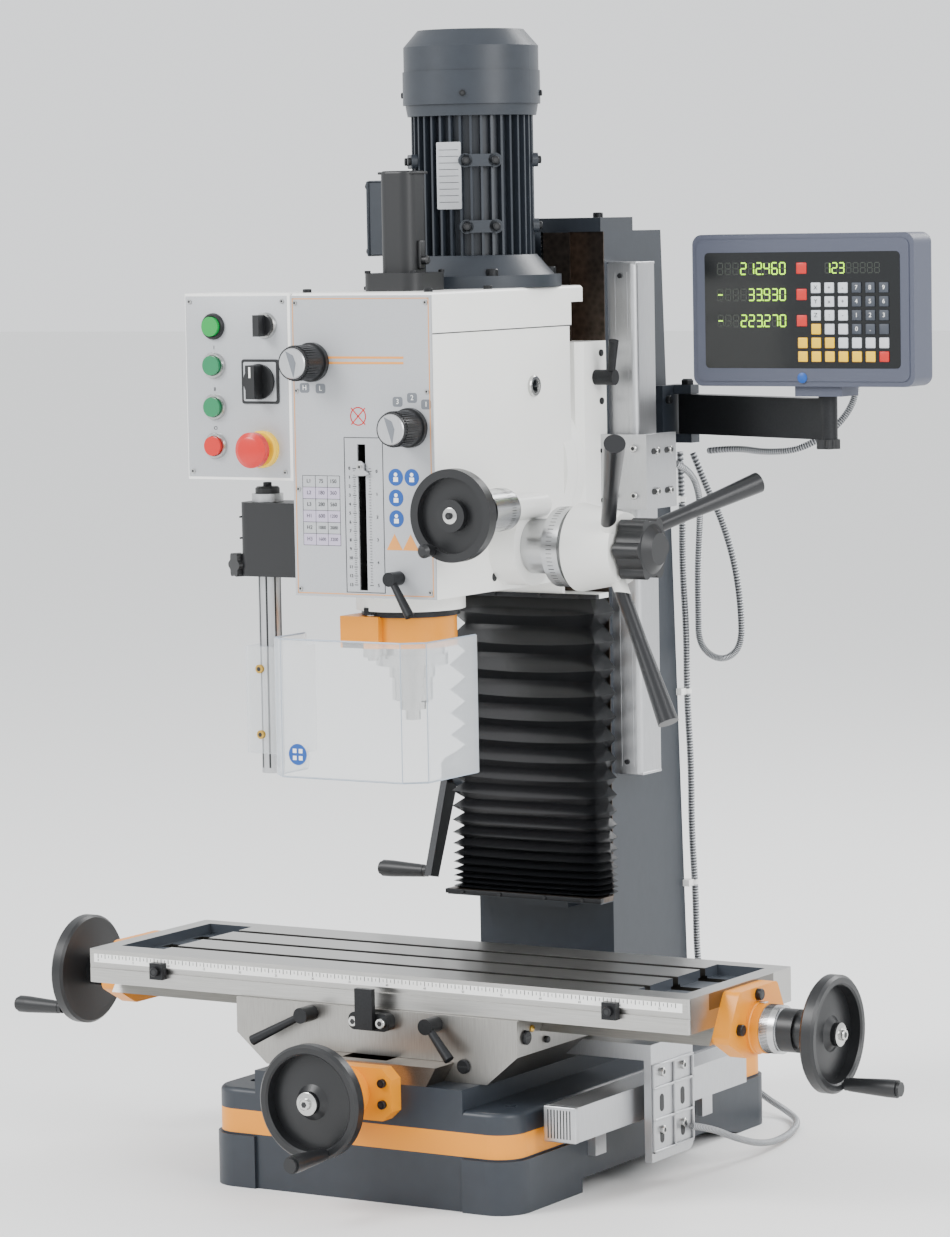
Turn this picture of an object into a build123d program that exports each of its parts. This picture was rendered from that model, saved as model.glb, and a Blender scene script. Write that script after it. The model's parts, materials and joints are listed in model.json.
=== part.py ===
"""Bench milling machine: a tilting head on a dovetail column, over a cross table.

Millimetres, +Z up. The operator stands at -Y, the table runs along X, and the origin is on the
floor in the machine's plane of symmetry.
"""

import os
from math import cos, radians, sin, tan

from build123d import *

# Clearances and corners
SLIDE_GAP = 0.3
RUNNING = 0.05
CAST_CORNER = 4

# Base
BASE_X, BASE_FRONT, BASE_BACK, SHELF_Z = 200, -200, 400, 113
BASE_CORNER, BASE_WALL, HOLLOW_TOP = 32, 14, 95
PLINTH_PROUD, PLINTH_TOP = 4, 60
PEDESTAL_X, PEDESTAL_Z = 138, 136
ARCH_FRONT, ARCH_BACK, ARCH_Z = -53, 250, 16
BOLT_X, BOLT_YS, BOLT_R = 170, (-150, 350), 7
CROSS_WAY_Z, CROSS_WAY_ROOT, CROSS_WAY_TIP, CROSS_WAY_BACK = 158, 91, 104, 205

# Column
COLUMN_X, COLUMN_FRONT, COLUMN_Z, COLUMN_WALL = 92.5, 220, 1074, 18
COLUMN_FOOT_BACK, COLUMN_TOP_BACK = 400, 357
UP_WAY_FRONT, UP_WAY_ROOT, UP_WAY_TIP, UP_WAY_Z = 198, 48, 60, 290
CAP_Z = 1090
BELLOWS_X, BELLOWS_FRONT, BELLOWS_LOW, BELLOWS_HIGH, FOLDS = 103, 172, 296, 648, 14

# Saddle and table
SADDLE_FRONT, SADDLE_BACK, SADDLE_X = -162, 92, 187
TABLE_X, TABLE_FRONT, TABLE_BACK, TABLE_Z, TABLE_UNDER = 400, -155, 85, 250, 211
LONG_WAY_Z, LONG_WAY_ROOT, LONG_WAY_TIP = 192, 62, 76
SLOT_PITCH, SLOT_NECK, SLOT_HEAD, SLOT_DEPTH, SLOT_END = 63, 12, 21, 9, 374
TROUGH_IN, TROUGH_OUT, TROUGH_DEPTH = 317, 378, 12

# Screws and wheels
LONG_Y, LONG_Z, SCREW_R = -35, 202, 9
CROSS_Z = 127
UP_Y, UP_R, CRANK_Z = 255, 11, 428
WHEEL_R, WHEEL_RIM, WHEEL_DEEP = 65, 11, 17
GRIP_R, GRIP_LONG, PIN_R = 9, 68, 4

# Vertical slide and head
SLIDE_X, SLIDE_FRONT, SLIDE_LOW, SLIDE_HIGH = 94, 160, 689, 947
TILT_Z, SWIVEL_R, SWIVEL_FACE = 803, 98, 143.2
HEAD_X, HEAD_FRONT, HEAD_BACK, HEAD_LOW, LID_LOW, LID_HIGH = 93, -160, 142.5, 674, 967.3, 1013
HEAD_WALL = 14
PANEL_FRONT = -162
SPINDLE_Y, QUILL_R, QUILL_LOW = -68, 37.5, 591
HOUSING_R, HOUSING_LOW, GUIDE_R, GUIDE_HIGH = 62, 655, 45, 800
FEED_Y, FEED_Z, FEED_SHAFT_R, PINION_R = -5, 723.5, 12, 25
FINE_X, FINE_Z = 125, 769
ROD_X, ROD_Y, ROD_R, POINTER_Z = -20, -118, 6, 820
TRACK_LEFT, TRACK_RIGHT, TRACK_LOW, TRACK_HIGH = -7, 3.5, 682, 845
HEAD_FLOOR = 700
MOTOR_Y = 83
BOX_LEFT, BOX_RIGHT, BOX_BACK, BOX_LOW, BOX_HIGH, BOX_WALL = -238, -93, -90, 803, 1013, 3
POST_X, POST_Y, POST_R = -157, -120, 13

# Read-out
ARM_X, ARM_Y, ARM_LOW, ARM_HIGH, ARM_PIN = 118, 372, 831, 878, 5
READOUT_X, READOUT_Y = 352, 282

# Cables
LEAD = 8

UPRIGHT = (Align.CENTER, Align.CENTER, Align.MIN)


def block(low, high, mode=Mode.ADD):
    """Box between two opposite corners."""
    with Locations(tuple((a + b) / 2 for a, b in zip(low, high))):
        Box(*(b - a for a, b in zip(low, high)), mode=mode)


def turned(start, direction, sections, mode=Mode.ADD):
    """Coaxial lengths end to end, each (length, radius) or (length, radius, end radius)."""
    way = Vector(*direction).normalized()
    spot = Vector(*start)
    for length, radius, *end in sections:
        with Locations(Plane(origin=spot, z_dir=way)):
            if end:
                Cone(radius, end[0], length, align=UPRIGHT, mode=mode)
            else:
                Cylinder(radius, length, align=UPRIGHT, mode=mode)
        spot = spot + way * length


def prism(plane, corners, height, mode=Mode.ADD):
    """Straight extrusion of a closed outline."""
    with BuildSketch(plane) as outline:
        with BuildLine():
            Polyline(*corners, close=True)
        make_face()
    extrude(outline.sketch, amount=height, mode=mode)


def wheel(face, outward, bore):
    """Dished handwheel whose rim face is at face, with its boss running back to the dial."""
    away = Vector(*outward)
    up = Vector(0, 0, 1)
    inner = WHEEL_R - WHEEL_RIM
    with BuildSketch(Plane(origin=face, x_dir=up, z_dir=up.cross(away))) as section:
        with BuildLine():
            Polyline(
                (bore, 0), (13, 0), (13, -5), (20, -10), (inner, -14), (inner, -2), (inner + 2, 0),
                (WHEEL_R - 3, 0), (WHEEL_R, -3), (WHEEL_R, -WHEEL_DEEP + 3),
                (WHEEL_R - 3, -WHEEL_DEEP), (inner, -WHEEL_DEEP), (18, -18), (18, -20), (bore, -20),
                close=True,
            )
        make_face()
    revolve(section.sketch, axis=Axis(face, outward))


def grip(start, outward):
    """Revolving handle that turns on its pin, clear of the wheel by a washer's thickness."""
    base = Vector(*start) + Vector(*outward) * 0.5
    turned(base, outward, [(5, 7), (GRIP_LONG - 22, 7.5, GRIP_R + 1), (12, GRIP_R + 1), (4, 8)])
    turned(start, outward, [(GRIP_LONG - 6, PIN_R + RUNNING)], Mode.SUBTRACT)


def lever(hub, outward, hub_r, hub_long, arm_end, arm_r):
    """Clamping lever: a round hub and a tapered arm that leaves it near its end."""
    turned(hub, outward, [(hub_long, hub_r)])
    root = Vector(*hub) + Vector(*outward) * (hub_long - arm_r)
    reach = Vector(*arm_end) - root
    turned(root, reach, [(reach.length, arm_r * 0.7, arm_r)])


def corner_radii(points):
    """Bend radii that leave a tenth of every shorter run straight."""
    spots = [Vector(*p) for p in points]
    runs = [b - a for a, b in zip(spots, spots[1:])]
    bends = []
    for first, second in zip(runs, runs[1:]):
        half = radians(first.get_angle(second)) / 2
        bends.append(0.45 * min(first.length, second.length) / tan(half))
    return bends


def tube(points, thickness):
    """Plain tube along straight runs and tangent bends."""
    bends = corner_radii(points)
    with BuildLine():
        route = FilletPolyline(*points, radius=bends)
    with BuildSketch(Plane(origin=route @ 0, z_dir=route % 0)) as section:
        Circle(thickness / 2)
    sweep(section.sketch, path=route)
    print("tube length", round(route.length), "radii", [round(bend) for bend in bends])


os.makedirs("parts", exist_ok=True)

# ---------------------------------------------------------------- the fixed frame

with BuildPart() as base_casting:
    middle = (BASE_FRONT + BASE_BACK) / 2
    depth = BASE_BACK - BASE_FRONT
    with BuildSketch(Plane.XY):
        with Locations((0, middle)):
            RectangleRounded(2 * BASE_X, depth, BASE_CORNER)
    extrude(amount=SHELF_Z)
    fillet(base_casting.edges().group_by(Axis.Z)[-1], 6)
    with BuildSketch(Plane.XY):
        with Locations((0, middle)):
            wide = 2 * (BASE_X + PLINTH_PROUD)
            RectangleRounded(wide, depth + 2 * PLINTH_PROUD, BASE_CORNER + PLINTH_PROUD)
    extrude(amount=PLINTH_TOP)
    for y in (BASE_FRONT - PLINTH_PROUD, BASE_BACK):
        block((-PEDESTAL_X, y, 0), (PEDESTAL_X, y + PLINTH_PROUD, PLINTH_TOP), Mode.SUBTRACT)
    block((-PEDESTAL_X, BASE_FRONT, PLINTH_TOP), (PEDESTAL_X, BASE_BACK, PEDESTAL_Z))
    cross_way = [
        (-CROSS_WAY_ROOT, PEDESTAL_Z), (-CROSS_WAY_TIP, CROSS_WAY_Z),
        (CROSS_WAY_TIP, CROSS_WAY_Z), (CROSS_WAY_ROOT, PEDESTAL_Z),
    ]
    prism(Plane.XZ.offset(-CROSS_WAY_BACK), cross_way, CROSS_WAY_BACK - BASE_FRONT)
    hollow_x = PEDESTAL_X - BASE_WALL
    hollow_back = BASE_BACK - BASE_WALL
    block((-hollow_x, BASE_FRONT + BASE_WALL, 0), (hollow_x, hollow_back, HOLLOW_TOP), Mode.SUBTRACT)
    block((-30, -185, HOLLOW_TOP), (30, 200, CROSS_WAY_Z), Mode.SUBTRACT)
    turned((0, BASE_FRONT, CROSS_Z), (0, 1, 0), [(20, 12)], Mode.SUBTRACT)
    arch = [(ARCH_FRONT, 0), (ARCH_FRONT, ARCH_Z), (ARCH_BACK, ARCH_Z), (ARCH_BACK + 70, 0)]
    prism(Plane.YZ.offset(PEDESTAL_X + 10), arch, 80, Mode.SUBTRACT)
    prism(Plane.YZ.offset(-PEDESTAL_X - 90), arch, 80, Mode.SUBTRACT)
    for x in (-BOLT_X, BOLT_X):
        for y in BOLT_YS:
            turned((x, y, 0), (0, 0, 1), [(SHELF_Z, BOLT_R)], Mode.SUBTRACT)
base_casting.part.label = "base_casting"
export_step(base_casting.part, "parts/base_casting.step")

with BuildPart() as column_casting:
    side_view = [
        (COLUMN_FRONT, PEDESTAL_Z), (COLUMN_FOOT_BACK, PEDESTAL_Z),
        (COLUMN_TOP_BACK, COLUMN_Z), (COLUMN_FRONT, COLUMN_Z),
    ]
    prism(Plane.YZ.offset(-COLUMN_X), side_view, 2 * COLUMN_X)
    core_x = COLUMN_X - COLUMN_WALL
    core = [(238, 170), (378, 170), (338, COLUMN_Z), (238, COLUMN_Z)]
    prism(Plane.YZ.offset(-core_x), core, 2 * core_x, Mode.SUBTRACT)
    up_way = [
        (-UP_WAY_ROOT, COLUMN_FRONT), (-UP_WAY_TIP, UP_WAY_FRONT),
        (UP_WAY_TIP, UP_WAY_FRONT), (UP_WAY_ROOT, COLUMN_FRONT),
    ]
    prism(Plane.XY.offset(UP_WAY_Z), up_way, COLUMN_Z - UP_WAY_Z)
    block((-24, UP_WAY_FRONT, 396), (24, 240, COLUMN_Z), Mode.SUBTRACT)
    block((-40, 238, 376), (40, 290, 392))
    turned((-COLUMN_X, UP_Y, CRANK_Z), (-1, 0, 0), [(26, 36, 32), (18, 24)])
    turned((-60, UP_Y, CRANK_Z), (-1, 0, 0), [(90, SCREW_R + RUNNING)], Mode.SUBTRACT)
    turned((0, UP_Y, 370), (0, 0, 1), [(30, 8 + RUNNING)], Mode.SUBTRACT)
    block((-COLUMN_X, 214, COLUMN_Z), (COLUMN_X, 290, CAP_Z))
    turned((0, UP_Y, COLUMN_Z - 1), (0, 0, 1), [(12, UP_R + RUNNING)], Mode.SUBTRACT)
    block((-BELLOWS_X - 2, 168, BELLOWS_LOW - 7), (BELLOWS_X + 2, UP_WAY_FRONT, BELLOWS_LOW))
    block((-UP_WAY_ROOT, 190, BELLOWS_LOW - 17), (UP_WAY_ROOT, COLUMN_FRONT, UP_WAY_Z))
    block((COLUMN_X, 335, ARM_LOW - 11), (COLUMN_X + 12, 392, ARM_HIGH + 11))
    block((COLUMN_X + 12, 362, ARM_LOW - 11), (ARM_X + 10, 382, ARM_LOW - SLIDE_GAP))
    block((COLUMN_X + 12, 362, ARM_HIGH + SLIDE_GAP), (ARM_X + 10, 382, ARM_HIGH + 11))
    turned((ARM_X, ARM_Y, ARM_LOW - 5), (0, 0, 1), [(ARM_HIGH - ARM_LOW + 10, ARM_PIN)])
column_casting.part.label = "column_casting"
export_step(column_casting.part, "parts/column_casting.step")

with BuildPart() as y_screw_bracket:
    octagon = [(-58, 108), (-46, 97), (46, 97), (58, 108), (58, 144), (46, 156), (-46, 156), (-58, 144)]
    prism(Plane.XZ.offset(-BASE_FRONT), octagon, 20)
    turned((0, BASE_FRONT - 20, CROSS_Z), (0, -1, 0), [(30, 29)])
    turned((0, BASE_FRONT, CROSS_Z), (0, -1, 0), [(60, SCREW_R + RUNNING)], Mode.SUBTRACT)
y_screw_bracket.part.label = "y_screw_bracket"
export_step(y_screw_bracket.part, "parts/y_screw_bracket.step")

with BuildPart() as scale_covers:
    block((COLUMN_X, 228, 437), (130, 273, 1036))
    fillet(scale_covers.edges().filter_by(Axis.Z).sort_by(Axis.X)[-2:].sort_by(Axis.Y)[0], 7)
    block((214, -150, 78), (253, 247, 117))
    for y in (-40, 210):
        block((BASE_X + PLINTH_PROUD, y, 40), (214, y + 24, 104))
        block((BASE_X, y, PLINTH_TOP), (BASE_X + PLINTH_PROUD, y + 24, 104))
scale_covers.part.label = "scale_covers"
export_step(scale_covers.part, "parts/scale_covers.step")

with BuildPart() as way_bellows:
    block((-BELLOWS_X, BELLOWS_FRONT, BELLOWS_LOW), (BELLOWS_X, UP_WAY_FRONT - SLIDE_GAP, BELLOWS_HIGH))
    fold = (BELLOWS_HIGH - BELLOWS_LOW) / FOLDS
    for step in range(FOLDS):
        z = BELLOWS_LOW + (step + 0.5) * fold
        valley = [(BELLOWS_FRONT, z - fold / 3), (BELLOWS_FRONT + 9, z), (BELLOWS_FRONT, z + fold / 3)]
        prism(Plane.YZ.offset(-BELLOWS_X), valley, 2 * BELLOWS_X, Mode.SUBTRACT)
way_bellows.part.label = "way_bellows"
export_step(way_bellows.part, "parts/way_bellows.step")

# ---------------------------------------------------------------- saddle

with BuildPart() as saddle_casting:
    saddle_low = PEDESTAL_Z + SLIDE_GAP
    saddle_high = TABLE_UNDER - SLIDE_GAP
    front_view = [
        (-147, saddle_low), (147, saddle_low), (SADDLE_X, 170), (SADDLE_X, saddle_high),
        (-SADDLE_X, saddle_high), (-SADDLE_X, 170),
    ]
    prism(Plane.XZ.offset(-SADDLE_BACK), front_view, SADDLE_BACK - SADDLE_FRONT)
    cross_groove = [
        (-CROSS_WAY_ROOT - 0.5, saddle_low), (-CROSS_WAY_TIP - 0.5, CROSS_WAY_Z + SLIDE_GAP),
        (CROSS_WAY_TIP + 0.5, CROSS_WAY_Z + SLIDE_GAP), (CROSS_WAY_ROOT + 0.5, saddle_low),
    ]
    prism(Plane.XZ.offset(-SADDLE_BACK), cross_groove, SADDLE_BACK - SADDLE_FRONT, Mode.SUBTRACT)
    long_groove = [
        (LONG_Y - LONG_WAY_ROOT - 0.5, saddle_high), (LONG_Y - LONG_WAY_TIP - 0.5, LONG_WAY_Z - SLIDE_GAP),
        (LONG_Y + LONG_WAY_TIP + 0.5, LONG_WAY_Z - SLIDE_GAP), (LONG_Y + LONG_WAY_ROOT + 0.5, saddle_high),
    ]
    prism(Plane.YZ.offset(-SADDLE_X), long_groove, 2 * SADDLE_X, Mode.SUBTRACT)
saddle_casting.part.label = "saddle_casting"
export_step(saddle_casting.part, "parts/saddle_casting.step")

with BuildPart() as feed_nuts:
    block((-22, LONG_Y - 16, LONG_WAY_Z - SLIDE_GAP), (22, LONG_Y + 16, LONG_Z + 14))
    turned((-30, LONG_Y, LONG_Z), (1, 0, 0), [(60, SCREW_R + RUNNING)], Mode.SUBTRACT)
    block((-22, LONG_Y - 20, CROSS_Z - 17), (22, LONG_Y + 20, CROSS_WAY_Z + SLIDE_GAP))
    turned((0, LONG_Y - 30, CROSS_Z), (0, 1, 0), [(60, SCREW_R + RUNNING)], Mode.SUBTRACT)
feed_nuts.part.label = "feed_nuts"
export_step(feed_nuts.part, "parts/feed_nuts.step")

with BuildPart() as stop_block:
    block((-26, SADDLE_FRONT - 13, 188), (28, SADDLE_FRONT, 208))
    fillet(stop_block.edges().filter_by(Axis.Y), 8)
    block((-13, SADDLE_FRONT - 20, 190), (10, SADDLE_FRONT - 13, 236))
stop_block.part.label = "stop_block"
export_step(stop_block.part, "parts/stop_block.step")

with BuildPart() as y_reader_bracket:
    slope = (SADDLE_X - 147) / (170 - saddle_low)
    foot = [(147 + (z - saddle_low) * slope, z) for z in (148, 166)]
    foot += [(262, 166), (262, 148)]
    prism(Plane.XZ.offset(-12), foot, 24)
    block((262, -12, 32), (271, 85, 166))
    fillet(y_reader_bracket.edges().filter_by(Axis.X).sort_by(Axis.Y)[-2:], 12)
y_reader_bracket.part.label = "y_reader_bracket"
export_step(y_reader_bracket.part, "parts/y_reader_bracket.step")

CLAMP_Y = SADDLE_FRONT - SLIDE_GAP
with BuildPart() as saddle_clamp_left:
    lever((-84, CLAMP_Y, 200), (0, -1, 0), 9, 24, (-149, -187, 167), 6)
saddle_clamp_left.part.label = "saddle_clamp_left"
export_step(saddle_clamp_left.part, "parts/saddle_clamp_left.step")

with BuildPart() as saddle_clamp_right:
    lever((82, CLAMP_Y, 200), (0, -1, 0), 9, 24, (114, -187, 166), 6)
saddle_clamp_right.part.label = "saddle_clamp_right"
export_step(saddle_clamp_right.part, "parts/saddle_clamp_right.step")

# ---------------------------------------------------------------- table

with BuildPart() as table_casting:
    block((-TABLE_X, TABLE_FRONT, TABLE_UNDER), (TABLE_X, TABLE_BACK, TABLE_Z))
    fillet(table_casting.edges().filter_by(Axis.Z), CAST_CORNER)
    long_way = [
        (LONG_Y - LONG_WAY_ROOT, TABLE_UNDER), (LONG_Y - LONG_WAY_TIP, LONG_WAY_Z),
        (LONG_Y + LONG_WAY_TIP, LONG_WAY_Z), (LONG_Y + LONG_WAY_ROOT, TABLE_UNDER),
    ]
    prism(Plane.YZ.offset(-TABLE_X), long_way, 2 * TABLE_X)
    block((-TABLE_X, LONG_Y - 20, LONG_WAY_Z), (TABLE_X, LONG_Y + 20, 220), Mode.SUBTRACT)
    for step in (-1, 0, 1):
        y = LONG_Y + step * SLOT_PITCH
        neck_z = TABLE_Z - SLOT_DEPTH
        block((-SLOT_END, y - SLOT_NECK / 2, neck_z), (SLOT_END, y + SLOT_NECK / 2, TABLE_Z), Mode.SUBTRACT)
        head_z = neck_z - SLOT_DEPTH
        block((-SLOT_END, y - SLOT_HEAD / 2, head_z), (SLOT_END, y + SLOT_HEAD / 2, neck_z), Mode.SUBTRACT)
    for x in (-TROUGH_OUT, TROUGH_IN):
        trough_z = TABLE_Z - TROUGH_DEPTH
        block((x, -120, trough_z), (x + TROUGH_OUT - TROUGH_IN, 62, TABLE_Z), Mode.SUBTRACT)
    block((-TABLE_X, TABLE_FRONT, 228), (TABLE_X, TABLE_FRONT + 3, 233), Mode.SUBTRACT)
table_casting.part.label = "table_casting"
export_step(table_casting.part, "parts/table_casting.step")

BRACKET_THICK = 20
with BuildPart() as x_screw_brackets:
    plate = [
        (LONG_Y - 72, 196), (LONG_Y - 42, 247), (LONG_Y + 46, 247), (LONG_Y + 72, 196),
        (LONG_Y + 28, 172), (LONG_Y - 28, 172),
    ]
    for side in (-1, 1):
        prism(Plane.YZ.offset(min(side * TABLE_X, side * (TABLE_X + BRACKET_THICK))), plate, BRACKET_THICK)
    fillet(x_screw_brackets.edges().filter_by(Axis.X), 2 * CAST_CORNER)
    for side in (-1, 1):
        turned((side * (TABLE_X + BRACKET_THICK), LONG_Y, LONG_Z), (side, 0, 0), [(14, 28)])
        turned((side * TABLE_X, LONG_Y, LONG_Z), (side, 0, 0), [(50, SCREW_R + RUNNING)], Mode.SUBTRACT)
x_screw_brackets.part.label = "x_screw_brackets"
export_step(x_screw_brackets.part, "parts/x_screw_brackets.step")

STOP_FRONT = TABLE_FRONT - SLIDE_GAP
with BuildPart() as table_stop_left:
    block((-307, STOP_FRONT - 9, 222), (-289, STOP_FRONT, 241))
    block((-304, STOP_FRONT, 228.5), (-292, TABLE_FRONT + 2.6, 232.5))
table_stop_left.part.label = "table_stop_left"
export_step(table_stop_left.part, "parts/table_stop_left.step")

with BuildPart() as table_stop_right:
    block((296, STOP_FRONT - 9, 222), (314, STOP_FRONT, 241))
    block((299, STOP_FRONT, 228.5), (311, TABLE_FRONT + 2.6, 232.5))
table_stop_right.part.label = "table_stop_right"
export_step(table_stop_right.part, "parts/table_stop_right.step")

X_RIM_RIGHT, X_RIM_LEFT, Y_RIM = 520, -499, -300
RIGHT_GRIP = (X_RIM_RIGHT, LONG_Y + 13, LONG_Z - 57)
LEFT_GRIP = (X_RIM_LEFT, LONG_Y - 40, LONG_Z - 42)
Y_GRIP = (20, Y_RIM, CROSS_Z - 54.5)
with BuildPart() as x_screw:
    turned((X_RIM_LEFT, LONG_Y, LONG_Z), (1, 0, 0), [(X_RIM_RIGHT - X_RIM_LEFT, SCREW_R)])
x_screw.part.label = "x_screw"
export_step(x_screw.part, "parts/x_screw.step")

with BuildPart() as x_handwheels:
    wheel((X_RIM_RIGHT, LONG_Y, LONG_Z), (1, 0, 0), SCREW_R)
    wheel((X_RIM_LEFT, LONG_Y, LONG_Z), (-1, 0, 0), SCREW_R)
    turned((434.4, LONG_Y, LONG_Z), (1, 0, 0), [(18, 27), (20, 24), (27.6, 20, 18)])
    turned((-434.4, LONG_Y, LONG_Z), (-1, 0, 0), [(18, 27), (26.6, 20, 18)])
    turned((434, LONG_Y, LONG_Z), (1, 0, 0), [(68, SCREW_R)], Mode.SUBTRACT)
    turned((-434, LONG_Y, LONG_Z), (-1, 0, 0), [(48, SCREW_R)], Mode.SUBTRACT)
    turned((X_RIM_RIGHT - 8, *RIGHT_GRIP[1:]), (1, 0, 0), [(GRIP_LONG, PIN_R)])
    turned((X_RIM_LEFT + 8, *LEFT_GRIP[1:]), (-1, 0, 0), [(GRIP_LONG, PIN_R)])
x_handwheels.part.label = "x_handwheels"
export_step(x_handwheels.part, "parts/x_handwheels.step")

with BuildPart() as x_grip_left:
    grip(LEFT_GRIP, (-1, 0, 0))
x_grip_left.part.label = "x_grip_left"
export_step(x_grip_left.part, "parts/x_grip_left.step")

with BuildPart() as x_grip_right:
    grip(RIGHT_GRIP, (1, 0, 0))
x_grip_right.part.label = "x_grip_right"
export_step(x_grip_right.part, "parts/x_grip_right.step")

with BuildPart() as y_screw:
    turned((0, Y_RIM, CROSS_Z), (0, 1, 0), [(490, SCREW_R)])
y_screw.part.label = "y_screw"
export_step(y_screw.part, "parts/y_screw.step")

with BuildPart() as y_handwheel:
    wheel((0, Y_RIM, CROSS_Z), (0, -1, 0), SCREW_R)
    turned((0, -250.4, CROSS_Z), (0, -1, 0), [(16, 27), (13.6, 20, 18)])
    turned((0, -250, CROSS_Z), (0, -1, 0), [(32, SCREW_R)], Mode.SUBTRACT)
    turned((Y_GRIP[0], Y_RIM + 8, Y_GRIP[2]), (0, -1, 0), [(GRIP_LONG, PIN_R)])
y_handwheel.part.label = "y_handwheel"
export_step(y_handwheel.part, "parts/y_handwheel.step")

with BuildPart() as y_grip:
    grip(Y_GRIP, (0, -1, 0))
y_grip.part.label = "y_grip"
export_step(y_grip.part, "parts/y_grip.step")

CRANK_FACE = -157
CRANK_GRIP = (CRANK_FACE, 207, 308)
with BuildPart() as z_crank:
    turned((-12, UP_Y, CRANK_Z), (-1, 0, 0), [(14, 11, 17), (110.9, SCREW_R), (12.1, 18), (8, 14)])
    arm = [(UP_Y - 14, 436), (UP_Y + 14, 436), (UP_Y + 12, 418), (216, 300), (198, 304), (UP_Y - 14, 420)]
    prism(Plane.YZ.offset(CRANK_FACE), arm, 9)
    turned((CRANK_FACE + 2, *CRANK_GRIP[1:]), (-1, 0, 0), [(GRIP_LONG - 4, PIN_R)])
z_crank.part.label = "z_crank"
export_step(z_crank.part, "parts/z_crank.step")

with BuildPart() as z_crank_grip:
    grip(CRANK_GRIP, (-1, 0, 0))
z_crank_grip.part.label = "z_crank_grip"
export_step(z_crank_grip.part, "parts/z_crank_grip.step")

with BuildPart() as z_screw:
    turned((0, UP_Y, 372), (0, 0, 1), [(20.3, 8), (12, 16), (8, 14), (CAP_Z - 7 - 412.3, UP_R)])
z_screw.part.label = "z_screw"
export_step(z_screw.part, "parts/z_screw.step")

# ---------------------------------------------------------------- vertical slide

with BuildPart() as z_slide_casting:
    block((-SLIDE_X, SLIDE_FRONT, SLIDE_LOW), (SLIDE_X, COLUMN_FRONT - SLIDE_GAP, SLIDE_HIGH))
    chamfer(z_slide_casting.edges().filter_by(Axis.Z).sort_by(Axis.Y)[:2], 8)
    up_groove = [
        (-UP_WAY_ROOT - 0.5, COLUMN_FRONT - SLIDE_GAP), (-UP_WAY_TIP - 0.5, UP_WAY_FRONT - SLIDE_GAP),
        (UP_WAY_TIP + 0.5, UP_WAY_FRONT - SLIDE_GAP), (UP_WAY_ROOT + 0.5, COLUMN_FRONT - SLIDE_GAP),
    ]
    prism(Plane.XY.offset(SLIDE_LOW), up_groove, SLIDE_HIGH - SLIDE_LOW, Mode.SUBTRACT)
    turned((0, SLIDE_FRONT, TILT_Z), (0, -1, 0), [(SLIDE_FRONT - SWIVEL_FACE - SLIDE_GAP, SWIVEL_R)])
    block((-20, UP_WAY_FRONT - SLIDE_GAP, 775), (20, UP_Y + 20, 835))
    turned((0, UP_Y, 770), (0, 0, 1), [(70, UP_R + RUNNING)], Mode.SUBTRACT)
    block((-BELLOWS_X - 2, 168, BELLOWS_HIGH), (BELLOWS_X + 2, UP_WAY_FRONT - SLIDE_GAP, BELLOWS_HIGH + 6))
    block((-60, 168, BELLOWS_HIGH + 6), (60, 174, SLIDE_LOW))
z_slide_casting.part.label = "z_slide_casting"
export_step(z_slide_casting.part, "parts/z_slide_casting.step")

with BuildPart() as z_reader_bracket:
    block((SLIDE_X, 204, 751), (147, 212, 838))
    block((147, 204, 751), (155, 275, 838))
    block((131, 236, 770), (147, 266, 820))
z_reader_bracket.part.label = "z_reader_bracket"
export_step(z_reader_bracket.part, "parts/z_reader_bracket.step")

with BuildPart() as z_clamp_lever:
    lever((SLIDE_X + SLIDE_GAP, 195, 905), (1, 0, 0), 9, 26, (124, 186, 948), 6)
z_clamp_lever.part.label = "z_clamp_lever"
export_step(z_clamp_lever.part, "parts/z_clamp_lever.step")

# ---------------------------------------------------------------- head

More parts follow.
